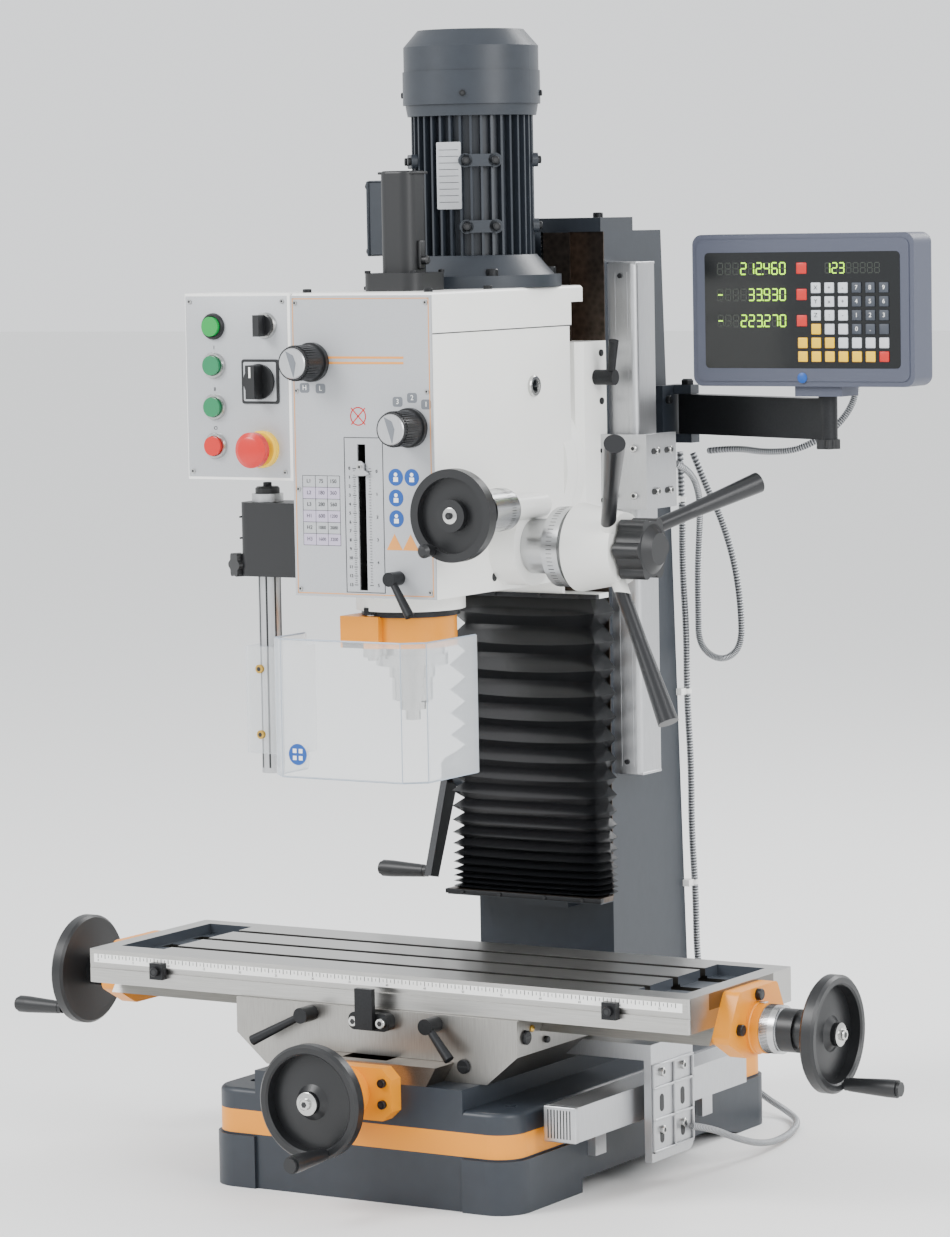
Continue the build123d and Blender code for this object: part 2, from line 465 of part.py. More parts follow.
PANEL_KNOBS = {"range": (-64, 936), "speed": (64, 864)}
KNOB_STEM, QUILL_LOCK = 6, (45, 697)
with BuildPart() as head_casting:
    block((-HEAD_X, HEAD_FRONT, HEAD_LOW), (HEAD_X, HEAD_BACK, LID_LOW))
    fillet(head_casting.edges().filter_by(Axis.Z).sort_by(Axis.Y)[-2:], 6)
    cavity_x = HEAD_X - HEAD_WALL
    block((-cavity_x, HEAD_FRONT + HEAD_WALL, HEAD_FLOOR), (cavity_x, 120, LID_LOW), Mode.SUBTRACT)
    pocket = (ROD_X - 8, HEAD_FRONT + HEAD_WALL, TRACK_LOW - 2)
    block(pocket, (TRACK_RIGHT, ROD_Y + 7, HEAD_FLOOR), Mode.SUBTRACT)
    turned((0, 120, TILT_Z), (0, 1, 0), [(SWIVEL_FACE - 120, SWIVEL_R)])
    turned((0, SPINDLE_Y, HOUSING_LOW), (0, 0, 1), [(HEAD_LOW - HOUSING_LOW, HOUSING_R)])
    turned((0, SPINDLE_Y, HEAD_LOW), (0, 0, 1), [(GUIDE_HIGH - HEAD_LOW, GUIDE_R)])
    turned((cavity_x, FEED_Y, FEED_Z), (1, 0, 0), [(126 - cavity_x, 45)])
    block((HEAD_X, -60, FINE_Z - 14), (FINE_X, 14, FINE_Z + 14))
    turned((FINE_X, 14, FINE_Z), (0, -1, 0), [(84, 14)])
    turned((0, SPINDLE_Y, HOUSING_LOW), (0, 0, 1), [(150, QUILL_R + RUNNING)], Mode.SUBTRACT)
    turned((-15, FEED_Y, FEED_Z), (1, 0, 0), [(30, PINION_R + 2)], Mode.SUBTRACT)
    turned((0, FEED_Y, FEED_Z), (1, 0, 0), [(130, FEED_SHAFT_R + RUNNING)], Mode.SUBTRACT)
    turned((FINE_X, -71, FINE_Z), (0, 1, 0), [(50, 7 + RUNNING)], Mode.SUBTRACT)
    turned((ROD_X, ROD_Y, HOUSING_LOW), (0, 0, 1), [(60, ROD_R + 0.5)], Mode.SUBTRACT)
    block((TRACK_LEFT, HEAD_FRONT, TRACK_LOW), (TRACK_RIGHT, -110, TRACK_HIGH), Mode.SUBTRACT)
    for x, z in PANEL_KNOBS.values():
        turned((x, HEAD_FRONT, z), (0, 1, 0), [(20, KNOB_STEM + RUNNING)], Mode.SUBTRACT)
    turned((QUILL_LOCK[0], HEAD_FRONT, QUILL_LOCK[1]), (0, 1, 0), [(12, 5 + RUNNING)], Mode.SUBTRACT)
head_casting.part.label = "head_casting"
export_step(head_casting.part, "parts/head_casting.step")

with BuildPart() as head_lid:
    block((-HEAD_X, HEAD_FRONT, LID_LOW), (HEAD_X, HEAD_BACK, LID_HIGH))
    block((-HEAD_X, HEAD_BACK, 994), (HEAD_X, 169, LID_HIGH))
    fillet(head_lid.faces().sort_by(Axis.Z)[-1].edges(), 4)
    block((-cavity_x, HEAD_FRONT + HEAD_WALL, LID_LOW), (cavity_x, 120, LID_HIGH - 12), Mode.SUBTRACT)
    turned((0, SPINDLE_Y, LID_LOW), (0, 0, 1), [(60, 12)], Mode.SUBTRACT)
    turned((0, MOTOR_Y, LID_LOW), (0, 0, 1), [(60, 32)], Mode.SUBTRACT)
head_lid.part.label = "head_lid"
export_step(head_lid.part, "parts/head_lid.step")

with BuildPart() as front_panel:
    block((-HEAD_X, PANEL_FRONT, HEAD_LOW), (HEAD_X, HEAD_FRONT, 1010))
    block((TRACK_LEFT, PANEL_FRONT, TRACK_LOW), (TRACK_RIGHT, HEAD_FRONT, TRACK_HIGH), Mode.SUBTRACT)
    for x, z in PANEL_KNOBS.values():
        turned((x, PANEL_FRONT, z), (0, 1, 0), [(2, KNOB_STEM + RUNNING)], Mode.SUBTRACT)
    turned((QUILL_LOCK[0], PANEL_FRONT, QUILL_LOCK[1]), (0, 1, 0), [(2, 5 + RUNNING)], Mode.SUBTRACT)
front_panel.part.label = "front_panel"
export_step(front_panel.part, "parts/front_panel.step")

BUTTON_X, BUTTON_STEM, SELECTOR_X, SELECTOR_Z = -197, 7, -126, 977
SWITCH_X, SWITCH_Z, ESTOP_X, ESTOP_Z = -134, 914, -132, 838
with BuildPart() as control_box:
    block((BOX_LEFT, PANEL_FRONT, BOX_LOW), (BOX_RIGHT, BOX_BACK, BOX_HIGH))
    fillet(control_box.edges().filter_by(Axis.Z).sort_by(Axis.X)[:2], 4)
    inside = (BOX_LEFT + BOX_WALL, PANEL_FRONT + BOX_WALL, BOX_LOW + BOX_WALL)
    block(inside, (BOX_RIGHT - BOX_WALL, BOX_BACK - BOX_WALL, BOX_HIGH - BOX_WALL), Mode.SUBTRACT)
    stems = [(BUTTON_X, z) for z in (976, 932, 885, 841)]
    stems += [(SELECTOR_X, SELECTOR_Z), (SWITCH_X, SWITCH_Z), (ESTOP_X, ESTOP_Z)]
    for x, z in stems:
        turned((x, PANEL_FRONT, z), (0, 1, 0), [(3, BUTTON_STEM + RUNNING)], Mode.SUBTRACT)
control_box.part.label = "control_box"
export_step(control_box.part, "parts/control_box.step")

with BuildPart() as drawbar_cover:
    with BuildSketch(Plane.XY.offset(LID_HIGH)):
        with Locations((0, SPINDLE_Y)):
            RectangleRounded(74, 74, 18)
    extrude(amount=20)
    with BuildSketch(Plane.XY.offset(LID_HIGH + 20)):
        with Locations((0, SPINDLE_Y)):
            RectangleRounded(43, 43, 14)
    extrude(amount=114)
    fillet(drawbar_cover.faces().sort_by(Axis.Z)[-1].edges(), 3)
    turned((0, SPINDLE_Y, LID_HIGH), (0, 0, 1), [(129, 13)], Mode.SUBTRACT)
drawbar_cover.part.label = "drawbar_cover"
export_step(drawbar_cover.part, "parts/drawbar_cover.step")

MOTOR_FINS, FIN_LOW, FIN_HIGH, FAN_LOW = 36, 1050, 1213, 1222
with BuildPart() as motor_housing:
    turned((0, MOTOR_Y, LID_HIGH), (0, 0, 1), [(14, 100), (23, 92, 72), (163, 61), (9, 66)])
    with BuildSketch(Plane.XY.offset(FIN_LOW)):
        with Locations((0, MOTOR_Y)):
            with PolarLocations(64, MOTOR_FINS):
                Rectangle(12, 2.8)
    extrude(amount=FIN_HIGH - FIN_LOW)
    block((-122, 50, 1052), (-50, 116, 1135))
    turned((0, MOTOR_Y, LID_HIGH), (0, 0, 1), [(209, 44)], Mode.SUBTRACT)
motor_housing.part.label = "motor_housing"
export_step(motor_housing.part, "parts/motor_housing.step")

with BuildPart() as motor_fan_cover:
    turned((0, MOTOR_Y, FAN_LOW), (0, 0, 1), [(38, 79), (28, 77.5), (19, 77.5, 61)])
    turned((0, MOTOR_Y, FAN_LOW), (0, 0, 1), [(64, 74), (17, 74, 58)], Mode.SUBTRACT)
    turned((0, MOTOR_Y, FAN_LOW), (0, 0, 1), [(6, 79)])
    turned((0, MOTOR_Y, FAN_LOW), (0, 0, 1), [(6, 30)], Mode.SUBTRACT)
motor_fan_cover.part.label = "motor_fan_cover"
export_step(motor_fan_cover.part, "parts/motor_fan_cover.step")

with BuildPart() as motor_rotor:
    turned((0, MOTOR_Y, 985), (0, 0, 1), [(60, 14), (165, 42), (48, 10), (14, 62), (4, 20)])
motor_rotor.part.label = "motor_rotor"
export_step(motor_rotor.part, "parts/motor_rotor.step")

# ---------------------------------------------------------------- chip guard

with BuildPart() as guard_block:
    block((-182, -145, 692), (-HEAD_X, -95, 776))
    fillet(guard_block.edges().filter_by(Axis.Z).sort_by(Axis.X)[:2], 12)
    turned((POST_X, POST_Y, 690), (0, 0, 1), [(90, POST_R + RUNNING)], Mode.SUBTRACT)
guard_block.part.label = "guard_block"
export_step(guard_block.part, "parts/guard_block.step")

with BuildPart() as guard_post:
    turned((POST_X, POST_Y, 466), (0, 0, 1), [(324, POST_R)])
    turned((POST_X, POST_Y, 776.3), (0, 0, 1), [(9, 18)])
guard_post.part.label = "guard_post"
export_step(guard_post.part, "parts/guard_post.step")

with BuildPart() as guard_shield:
    block((-180, -145, 490), (-113, -95, 612))
    fillet(guard_shield.edges().filter_by(Axis.Z).sort_by(Axis.X)[:2], 10)
    turned((POST_X, POST_Y, 480), (0, 0, 1), [(140, POST_R + RUNNING)], Mode.SUBTRACT)
    with BuildLine() as shield_line:
        Polyline((-112, -118), (-112, -176), (-97, -190), (62, -190), (85, -172), (85, -69))
    with BuildSketch(Plane.XY.offset(472)) as shield_plan:
        offset(shield_line.line, amount=2, kind=Kind.INTERSECTION, side=Side.BOTH)
        make_face()
    extrude(shield_plan.sketch, amount=155)
guard_shield.part.label = "guard_shield"
export_step(guard_shield.part, "parts/guard_shield.step")

# ---------------------------------------------------------------- quill and spindle

with BuildPart() as quill:
    turned((0, SPINDLE_Y, QUILL_LOW), (0, 0, 1), [(13, 41), (256, QUILL_R)])
    turned((0, SPINDLE_Y, QUILL_LOW), (0, 0, 1), [(269, 21)], Mode.SUBTRACT)
quill.part.label = "quill"
export_step(quill.part, "parts/quill.step")

with BuildPart() as depth_stop:
    turned((0, SPINDLE_Y, 613), (0, 0, 1), [(36, 52)])
    block((-57, -128, 613), (-6, SPINDLE_Y, 649))
    turned((0, SPINDLE_Y, 610), (0, 0, 1), [(45, QUILL_R)], Mode.SUBTRACT)
    turned((ROD_X, ROD_Y, 599), (0, 0, 1), [(POINTER_Z - 599, ROD_R)])
    block((ROD_X - 5, -132, POINTER_Z - 8), (0, ROD_Y + 5, POINTER_Z))
    block((-3.5, -163.5, POINTER_Z - 5), (0, -130, POINTER_Z))
    turned((ROD_X, ROD_Y, 603), (0, 0, 1), [(10, 11)])
depth_stop.part.label = "depth_stop"
export_step(depth_stop.part, "parts/depth_stop.step")

with BuildPart() as spindle:
    turned((0, SPINDLE_Y, 528), (0, 0, 1), [(12, 8.5), (11, 15), (26, 23), (13.7, 26)])
    turned((0, SPINDLE_Y, 590.7), (0, 0, 1), [(265, 21 - RUNNING), (272, 8), (8, 9.5)])
spindle.part.label = "spindle"
export_step(spindle.part, "parts/spindle.step")

# ---------------------------------------------------------------- feeds

HUB_START, LEVER_ANGLES, LEVER_ROOT, LEVER_TIP = 126.4, (19.3, 139.3, 259.3), (235, 30), (316, 192)
with BuildPart() as feed_hub:
    turned((-12, FEED_Y, FEED_Z), (1, 0, 0), [(24, PINION_R), (HUB_START - 12, FEED_SHAFT_R)])
    turned((HUB_START, FEED_Y, FEED_Z), (1, 0, 0), [(35, 31), (20, 45), (7, 38), (56, 50, 40)])
    turned((180, FEED_Y, FEED_Z), (1, 0, 0), [(90, 8 + RUNNING)], Mode.SUBTRACT)
    for angle in LEVER_ANGLES:
        aim = Vector(0, cos(radians(angle)), sin(radians(angle)))
        root = Vector(LEVER_ROOT[0], FEED_Y, FEED_Z) + aim * LEVER_ROOT[1]
        tip = Vector(LEVER_TIP[0], FEED_Y, FEED_Z) + aim * LEVER_TIP[1]
        reach = tip - root
        turned(root, reach, [(reach.length * 0.45, 8.5), (reach.length * 0.55, 8.5, 12)])
feed_hub.part.label = "feed_hub"
export_step(feed_hub.part, "parts/feed_hub.step")

with BuildPart() as star_knob:
    turned((184, FEED_Y, FEED_Z), (1, 0, 0), [(64, 8)])
    with BuildSketch(Plane.YZ.offset(248)):
        with Locations((FEED_Y, FEED_Z)):
            Circle(31)
            with PolarLocations(28, 6):
                Circle(9)
    extrude(amount=32)
    turned((280, FEED_Y, FEED_Z), (1, 0, 0), [(8, 28, 18)])
star_knob.part.label = "star_knob"
export_step(star_knob.part, "parts/star_knob.step")

with BuildPart() as fine_feed_wheel:
    turned((FINE_X, -182, FINE_Z), (0, 1, 0), [(14, 51.5), (48, 17), (49.6, 24)])
    turned((FINE_X, -182, FINE_Z), (0, 1, 0), [(9, 42)], Mode.SUBTRACT)
    turned((FINE_X, -182, FINE_Z), (0, 1, 0), [(10, 18)])
    turned((FINE_X, -72, FINE_Z), (0, 1, 0), [(50, 7)])
fine_feed_wheel.part.label = "fine_feed_wheel"
export_step(fine_feed_wheel.part, "parts/fine_feed_wheel.step")

with BuildPart() as range_knob:
    turned((-64, -162.4, 936), (0, -1, 0), [(6, 22), (35, 20, 18.5)])
    turned((-64, -163, 936), (0, 1, 0), [(21, KNOB_STEM)])
range_knob.part.label = "range_knob"
export_step(range_knob.part, "parts/range_knob.step")

with BuildPart() as speed_knob:
    turned((64, -162.4, 864), (0, -1, 0), [(6, 22), (35, 20, 18.5)])
    turned((64, -163, 864), (0, 1, 0), [(21, KNOB_STEM)])
speed_knob.part.label = "speed_knob"
export_step(speed_knob.part, "parts/speed_knob.step")

with BuildPart() as quill_lock_lever:
    lever((QUILL_LOCK[0], -162.4, QUILL_LOCK[1]), (0, -1, 0), 8, 22, (73, -186, 657), 5.5)
    turned((QUILL_LOCK[0], -163, QUILL_LOCK[1]), (0, 1, 0), [(14, 5)])
quill_lock_lever.part.label = "quill_lock_lever"
export_step(quill_lock_lever.part, "parts/quill_lock_lever.step")

# ---------------------------------------------------------------- switches

PUSH_LENS = [(16.5, BUTTON_STEM), (4.5, 11)]
with BuildPart() as power_button:
    turned((BUTTON_X, PANEL_FRONT + 12, 976), (0, -1, 0), PUSH_LENS)
power_button.part.label = "power_button"
export_step(power_button.part, "parts/power_button.step")

with BuildPart() as start_button:
    turned((BUTTON_X, PANEL_FRONT + 12, 932), (0, -1, 0), PUSH_LENS)
start_button.part.label = "start_button"
export_step(start_button.part, "parts/start_button.step")

with BuildPart() as reverse_button:
    turned((BUTTON_X, PANEL_FRONT + 12, 885), (0, -1, 0), PUSH_LENS)
reverse_button.part.label = "reverse_button"
export_step(reverse_button.part, "parts/reverse_button.step")

with BuildPart() as stop_button:
    turned((BUTTON_X, PANEL_FRONT + 12, 841), (0, -1, 0), PUSH_LENS)
stop_button.part.label = "stop_button"
export_step(stop_button.part, "parts/stop_button.step")

with BuildPart() as estop_button:
    mushroom = [(29, BUTTON_STEM), (4, 12, 19), (9, 20), (3, 20, 15)]
    turned((ESTOP_X, PANEL_FRONT + 14, ESTOP_Z), (0, -1, 0), mushroom)
estop_button.part.label = "estop_button"
export_step(estop_button.part, "parts/estop_button.step")

with BuildPart() as mode_selector:
    turned((SELECTOR_X, PANEL_FRONT + 12, SELECTOR_Z), (0, -1, 0), [(12.3, BUTTON_STEM), (8, 12)])
    block((SELECTOR_X - 4, -183, SELECTOR_Z - 12), (SELECTOR_X + 4, -170, SELECTOR_Z + 12))
mode_selector.part.label = "mode_selector"
export_step(mode_selector.part, "parts/mode_selector.step")

with BuildPart() as main_switch:
    turned((SWITCH_X, PANEL_FRONT + 12, SWITCH_Z), (0, -1, 0), [(12.3, BUTTON_STEM), (6, 20)])
    block((SWITCH_X - 6, -185, SWITCH_Z - 19), (SWITCH_X + 6, -168, SWITCH_Z + 19))
main_switch.part.label = "main_switch"
export_step(main_switch.part, "parts/main_switch.step")

# ---------------------------------------------------------------- digital read-out

run = Vector(READOUT_X - ARM_X, READOUT_Y - ARM_Y, 0)
with BuildPart() as dro_arm:
    with BuildSketch(Plane(origin=(ARM_X, ARM_Y, ARM_LOW), x_dir=run, z_dir=(0, 0, 1))):
        with Locations((run.length / 2, 0)):
            SlotCenterToCenter(run.length, 22)
    extrude(amount=ARM_HIGH - ARM_LOW)
    turned((ARM_X, ARM_Y, ARM_LOW), (0, 0, 1), [(ARM_HIGH - ARM_LOW, ARM_PIN + RUNNING)], Mode.SUBTRACT)
    turned((READOUT_X, READOUT_Y, ARM_HIGH), (0, 0, 1), [(3, 11), (20, 7)])
dro_arm.part.label = "dro_arm"
export_step(dro_arm.part, "parts/dro_arm.step")

READOUT_LEFT, READOUT_RIGHT, READOUT_FRONT, READOUT_BACK = 193, 478, 252, 302
READOUT_LOW, READOUT_HIGH = 893, 1068
with BuildPart() as dro_housing:
    block((READOUT_LEFT, READOUT_FRONT, READOUT_LOW), (READOUT_RIGHT, READOUT_BACK, READOUT_HIGH))
    fillet(dro_housing.edges().filter_by(Axis.Y), 12)
    fillet(dro_housing.faces().sort_by(Axis.Y)[-1].edges(), 6)
    block((READOUT_X - 30, 258, ARM_HIGH + 3.3), (READOUT_X + 30, 300, READOUT_LOW))
    turned((READOUT_X, READOUT_Y, ARM_HIGH + 3), (0, 0, 1), [(21, 7 + RUNNING)], Mode.SUBTRACT)
    turned((READOUT_X, READOUT_BACK, 925), (0, 1, 0), [(8, 8)])
dro_housing.part.label = "dro_housing"
export_step(dro_housing.part, "parts/dro_housing.step")

# ---------------------------------------------------------------- cables

with BuildPart() as cable_dro:
    tube([
        (352, 315, 925), (352, 353, 918), (347, 368, 878), (330, 352, 842), (296, 322, 816),
        (246, 327, 812), (198, 344, 816), (152, 362, 811),
    ], LEAD)
cable_dro.part.label = "cable_dro"
export_step(cable_dro.part, "parts/cable_dro.step")

with BuildPart() as cable_z:
    tube([
        (151, 282, 800), (151, 318, 790), (142, 356, 758), (122, 390, 716), (112, 402, 664),
        (111, 404, 614), (111, 404, 572), (142, 402, 554), (173, 398, 572), (174, 396, 620),
        (166, 396, 676), (148, 397, 728), (126, 397, 770), (112, 394, 806),
    ], LEAD)
cable_z.part.label = "cable_z"
export_step(cable_z.part, "parts/cable_z.step")

with BuildPart() as cable_y:
    tube([
        (281, 62, 62), (283, 104, 52), (288, 158, 30), (288, 220, 12), (280, 290, 6),
        (262, 362, 8), (222, 420, 6), (168, 440, 22), (126, 430, 62), (106, 416, 120),
        (99, 410, 190), (101, 406, 270), (98, 403, 350), (101, 399, 430), (98, 396, 510),
        (101, 392, 590), (98, 389, 670), (101, 386, 740), (100, 384, 808),
    ], LEAD)
cable_y.part.label = "cable_y"
export_step(cable_y.part, "parts/cable_y.step")
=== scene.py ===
"""Looks of the bench milling machine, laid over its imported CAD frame. Lengths are metres."""

import json
from math import cos, pi, radians, sin

import bmesh
import bpy
from bpy.props import FloatProperty, IntProperty, PointerProperty
from mathutils import Matrix, Vector


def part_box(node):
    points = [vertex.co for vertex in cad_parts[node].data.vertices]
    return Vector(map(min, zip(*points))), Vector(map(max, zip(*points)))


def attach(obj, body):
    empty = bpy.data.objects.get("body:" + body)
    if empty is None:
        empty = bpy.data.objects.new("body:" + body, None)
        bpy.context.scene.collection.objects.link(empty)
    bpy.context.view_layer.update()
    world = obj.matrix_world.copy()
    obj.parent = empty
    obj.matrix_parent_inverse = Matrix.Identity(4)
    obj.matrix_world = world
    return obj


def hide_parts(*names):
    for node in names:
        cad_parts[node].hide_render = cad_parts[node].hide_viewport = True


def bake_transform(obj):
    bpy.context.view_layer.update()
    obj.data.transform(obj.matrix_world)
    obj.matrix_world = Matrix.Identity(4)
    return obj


bl_info = {
    "name": "Bench Milling Machine",
    "version": (1, 0, 0),
    "blender": (4, 5, 0),
    "location": "View3D > Sidebar > Milling Machine",
    "description": "Builds the finished looks of a bench milling machine over its CAD frame",
    "category": "Add Mesh",
}

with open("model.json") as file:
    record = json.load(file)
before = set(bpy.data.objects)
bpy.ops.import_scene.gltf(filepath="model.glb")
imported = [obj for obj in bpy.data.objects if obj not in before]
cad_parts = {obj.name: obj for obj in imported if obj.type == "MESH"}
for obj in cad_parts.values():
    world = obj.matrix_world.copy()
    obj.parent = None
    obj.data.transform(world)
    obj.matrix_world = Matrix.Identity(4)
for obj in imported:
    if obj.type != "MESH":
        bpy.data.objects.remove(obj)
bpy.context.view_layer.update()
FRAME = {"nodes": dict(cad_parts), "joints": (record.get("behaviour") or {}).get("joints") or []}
MM = 0.001


def mm(*numbers):
    """The same numbers, or pairs of them, taken as millimetres."""
    return tuple(mm(*number) if isinstance(number, tuple) else number * MM for number in numbers)


X, Y, Z = Vector((1, 0, 0)), Vector((0, 1, 0)), Vector((0, 0, 1))


def node_frame(name):
    """Lowest corner, highest corner and middle of a CAD node."""
    low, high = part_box(name)
    return low, high, (low + high) / 2


JOINTS = {joint["name"]: joint for joint in FRAME["joints"]}


def axis_point(joint):
    """A point on the axis of a hinge."""
    return Vector(JOINTS[joint]["pos_m"])


PANEL_LOW, PANEL_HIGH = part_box("front_panel")
BOX_LOW, BOX_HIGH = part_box("control_box")
TABLE_LOW, TABLE_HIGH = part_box("table_casting")
SADDLE_LOW, SADDLE_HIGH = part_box("saddle_casting")
BASE_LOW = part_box("base_casting")[0]
BELLOWS_LOW, BELLOWS_HIGH, BELLOWS_MID = node_frame("way_bellows")
READOUT_LOW, READOUT_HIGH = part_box("dro_housing")
HEAD_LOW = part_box("head_casting")[0]
LID_LOW, LID_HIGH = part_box("head_lid")
PANEL_Y = PANEL_LOW.y
TILT = axis_point("head_tilt")
FEED = axis_point("quill_feed")
SPINDLE = axis_point("spindle_turn")
MOTOR = axis_point("motor_turn")
CROSS = axis_point("y_drive_turn")
LONG = axis_point("x_drive_turn")

# ------------------------------------------------------------------ sizes a user may change


class StageSizes(bpy.types.PropertyGroup):
    """Floor and lights"""

    floor_size: FloatProperty(name="Floor", description="Side of the floor", default=60.0, unit="LENGTH")
    key_power: FloatProperty(
        name="Key light", description="Power of the key light", default=190.0, unit="POWER"
    )
    fill_power: FloatProperty(
        name="Fill light", description="Power of the fill light", default=110.0, unit="POWER"
    )


class FastenerSizes(bpy.types.PropertyGroup):
    """Socket screws"""

    head_radius: FloatProperty(name="Head radius", description="M8 head", default=6.5 * MM, unit="LENGTH")
    head_height: FloatProperty(name="Head height", description="M8 head", default=8 * MM, unit="LENGTH")
    sides: IntProperty(name="Sides", description="Facets round a screw head", default=24, min=8, max=64)


class BellowsSizes(bpy.types.PropertyGroup):
    """Way cover"""

    folds: IntProperty(name="Folds", description="Number of folds", default=19, min=4, max=40)
    depth: FloatProperty(name="Fold depth", description="Depth of a fold", default=9 * MM, unit="LENGTH")


class ReadoutSizes(bpy.types.PropertyGroup):
    """Digital read-out"""

    key_size: FloatProperty(name="Key", description="Side of a key", default=12 * MM, unit="LENGTH")
    across: FloatProperty(
        name="Key pitch across", description="From key to key along a row", default=17.3 * MM, unit="LENGTH"
    )
    down: FloatProperty(
        name="Key pitch down", description="From row to row", default=15.7 * MM, unit="LENGTH"
    )


class CableSizes(bpy.types.PropertyGroup):
    """Armoured reader cables"""

    diameter: FloatProperty(name="Diameter", description="Outside diameter", default=8 * MM, unit="LENGTH")
    turn: FloatProperty(
        name="Armour turn", description="Length of one turn of the armour", default=3.2 * MM, unit="LENGTH"
    )


# ------------------------------------------------------------------ nodes and materials


def linear(code):
    """Linear colour of an sRGB hex code such as 2B3038."""
    values = [int(code[i : i + 2], 16) / 255 for i in (0, 2, 4)]
    return [v / 12.92 if v <= 0.04045 else ((v + 0.055) / 1.055) ** 2.4 for v in values] + [1.0]


def add(tree, kind, sockets=None, **settings):
    """Add a node, set its properties, and fill its sockets with values or other nodes' outputs."""
    node = tree.nodes.new(kind)
    for key, value in settings.items():
        setattr(node, key, value)
    for key, value in (sockets or {}).items():
        value = value.outputs[0] if isinstance(value, bpy.types.Node) else value
        if isinstance(value, bpy.types.NodeSocket):
            tree.links.new(value, node.inputs[key])
        else:
            node.inputs[key].default_value = value
    return node


MADE = {}


def start(name):
    """Tree of a new, empty material."""
    material = bpy.data.materials.new(name)
    material.use_nodes = True
    material.node_tree.nodes.clear()
    MADE[name] = material
    return material.node_tree


def close(tree, sockets):
    """Principled surface with the given sockets, joined to the output."""
    shader = add(tree, "ShaderNodeBsdfPrincipled", sockets)
    add(tree, "ShaderNodeOutputMaterial", {"Surface": shader})
    return shader


def object_point(tree, scale=(1, 1, 1)):
    """Object coordinates, stretched by a scale for each axis."""
    place = add(tree, "ShaderNodeTexCoord")
    return add(tree, "ShaderNodeMapping", {"Vector": place.outputs["Object"], "Scale": scale}).outputs[0]


def between(tree, value, low, high):
    """1 where a value lies between two limits."""
    under = add(tree, "ShaderNodeMath", {0: value, 1: high}, operation="LESS_THAN")
    return add(
        tree, "ShaderNodeMath",
        {0: add(tree, "ShaderNodeMath", {0: value, 1: low}, operation="GREATER_THAN"), 1: under},
        operation="MULTIPLY",
    ).outputs[0]


def axes(tree):
    """X, Y and Z of the object coordinates."""
    place = add(tree, "ShaderNodeTexCoord")
    split = add(tree, "ShaderNodeSeparateXYZ", {0: place.outputs["Object"]})
    return split.outputs


def around(tree, first, second, point):
    """Distance from an axis through point, from the two coordinates across it."""
    a = add(tree, "ShaderNodeMath", {0: first, 1: point[0]}, operation="SUBTRACT")
    b = add(tree, "ShaderNodeMath", {0: second, 1: point[1]}, operation="SUBTRACT")
    a2 = add(tree, "ShaderNodeMath", {0: a, 1: a}, operation="MULTIPLY")
    b2 = add(tree, "ShaderNodeMath", {0: b, 1: b}, operation="MULTIPLY")
    total = add(tree, "ShaderNodeMath", {0: a2, 1: b2}, operation="ADD")
    return add(tree, "ShaderNodeMath", {0: total}, operation="SQRT").outputs[0]


def orange_peel(tree, pitch=2.2, height=0.05):
    """Sprayed enamel's slight ripple, about 2 mm from crest to crest."""
    noise = add(
        tree, "ShaderNodeTexNoise", {"Vector": object_point(tree), "Scale": 1 / (pitch * MM), "Detail": 2.0}
    )
    return add(
        tree, "ShaderNodeBump", {"Height": noise, "Distance": height * MM, "Strength": 0.35}
    ).outputs[0]


def brushed(tree, stretch, pitch=0.9):
    """Fine lines from a grinding wheel or a brush; drawn at 0.9 mm, coarser than real ones, so they show."""
    scale = [factor / (pitch * MM) for factor in stretch]
    return add(
        tree, "ShaderNodeTexNoise", {"Vector": object_point(tree, scale), "Scale": 1.0, "Detail": 3.0}
    ).outputs[0]


def white_enamel():
    """Two-pack machine enamel, warm white: even half-gloss with a soft ripple, and near-black painted into
    the depth slot as its shade.
    """
    tree = start("White machine enamel")
    x, y, z = axes(tree)
    soil = add(tree, "ShaderNodeTexNoise", {"Vector": object_point(tree), "Scale": 9.0, "Detail": 5.0})
    paint = add(
        tree, "ShaderNodeMix", {0: soil, 6: linear("ECECE8"), 7: linear("F3F3F0")}, data_type="RGBA"
    ).outputs[2]
    across = add(
        tree, "ShaderNodeMath",
        {0: between(tree, x, -7.2 * MM, 3.7 * MM), 1: between(tree, z, 681.8 * MM, 845.2 * MM)},
        operation="MULTIPLY",
    )
    # Near-black on the walls of the depth slot in the head front: painted shade.
    slot_shade = add(
        tree, "ShaderNodeMath", {0: across, 1: between(tree, y, -0.1599, -0.1095)}, operation="MULTIPLY"
    )
    colour = add(
        tree, "ShaderNodeMix", {0: slot_shade, 6: paint, 7: linear("121314")}, data_type="RGBA"
    ).outputs[2]
    close(tree, {"Base Color": colour, "Roughness": 0.36, "Coat Weight": 0.15, "Normal": orange_peel(tree)})


def blue_grey_paint(tree):
    """Two near shades of blue-grey in low waves; gives the waves and the paint."""
    wave = add(
        tree, "ShaderNodeTexNoise", {"Vector": object_point(tree), "Scale": 60.0, "Detail": 4.0}
    ).outputs[0]
    return wave, add(
        tree, "ShaderNodeMix", {0: wave, 6: linear("22272E"), 7: linear("2A3038")}, data_type="RGBA"
    ).outputs[2]


def blue_grey_enamel():
    """Dark blue-grey enamel over filled castings: low waves under a half-gloss."""
    tree = start("Blue-grey machine enamel")
    wave, colour = blue_grey_paint(tree)
    close(
        tree,
        {
            "Base Color": colour, "Roughness": 0.4,
            "Normal": add(tree, "ShaderNodeBump", {"Height": wave, "Distance": 0.35 * MM, "Strength": 0.4}),
        },
    )


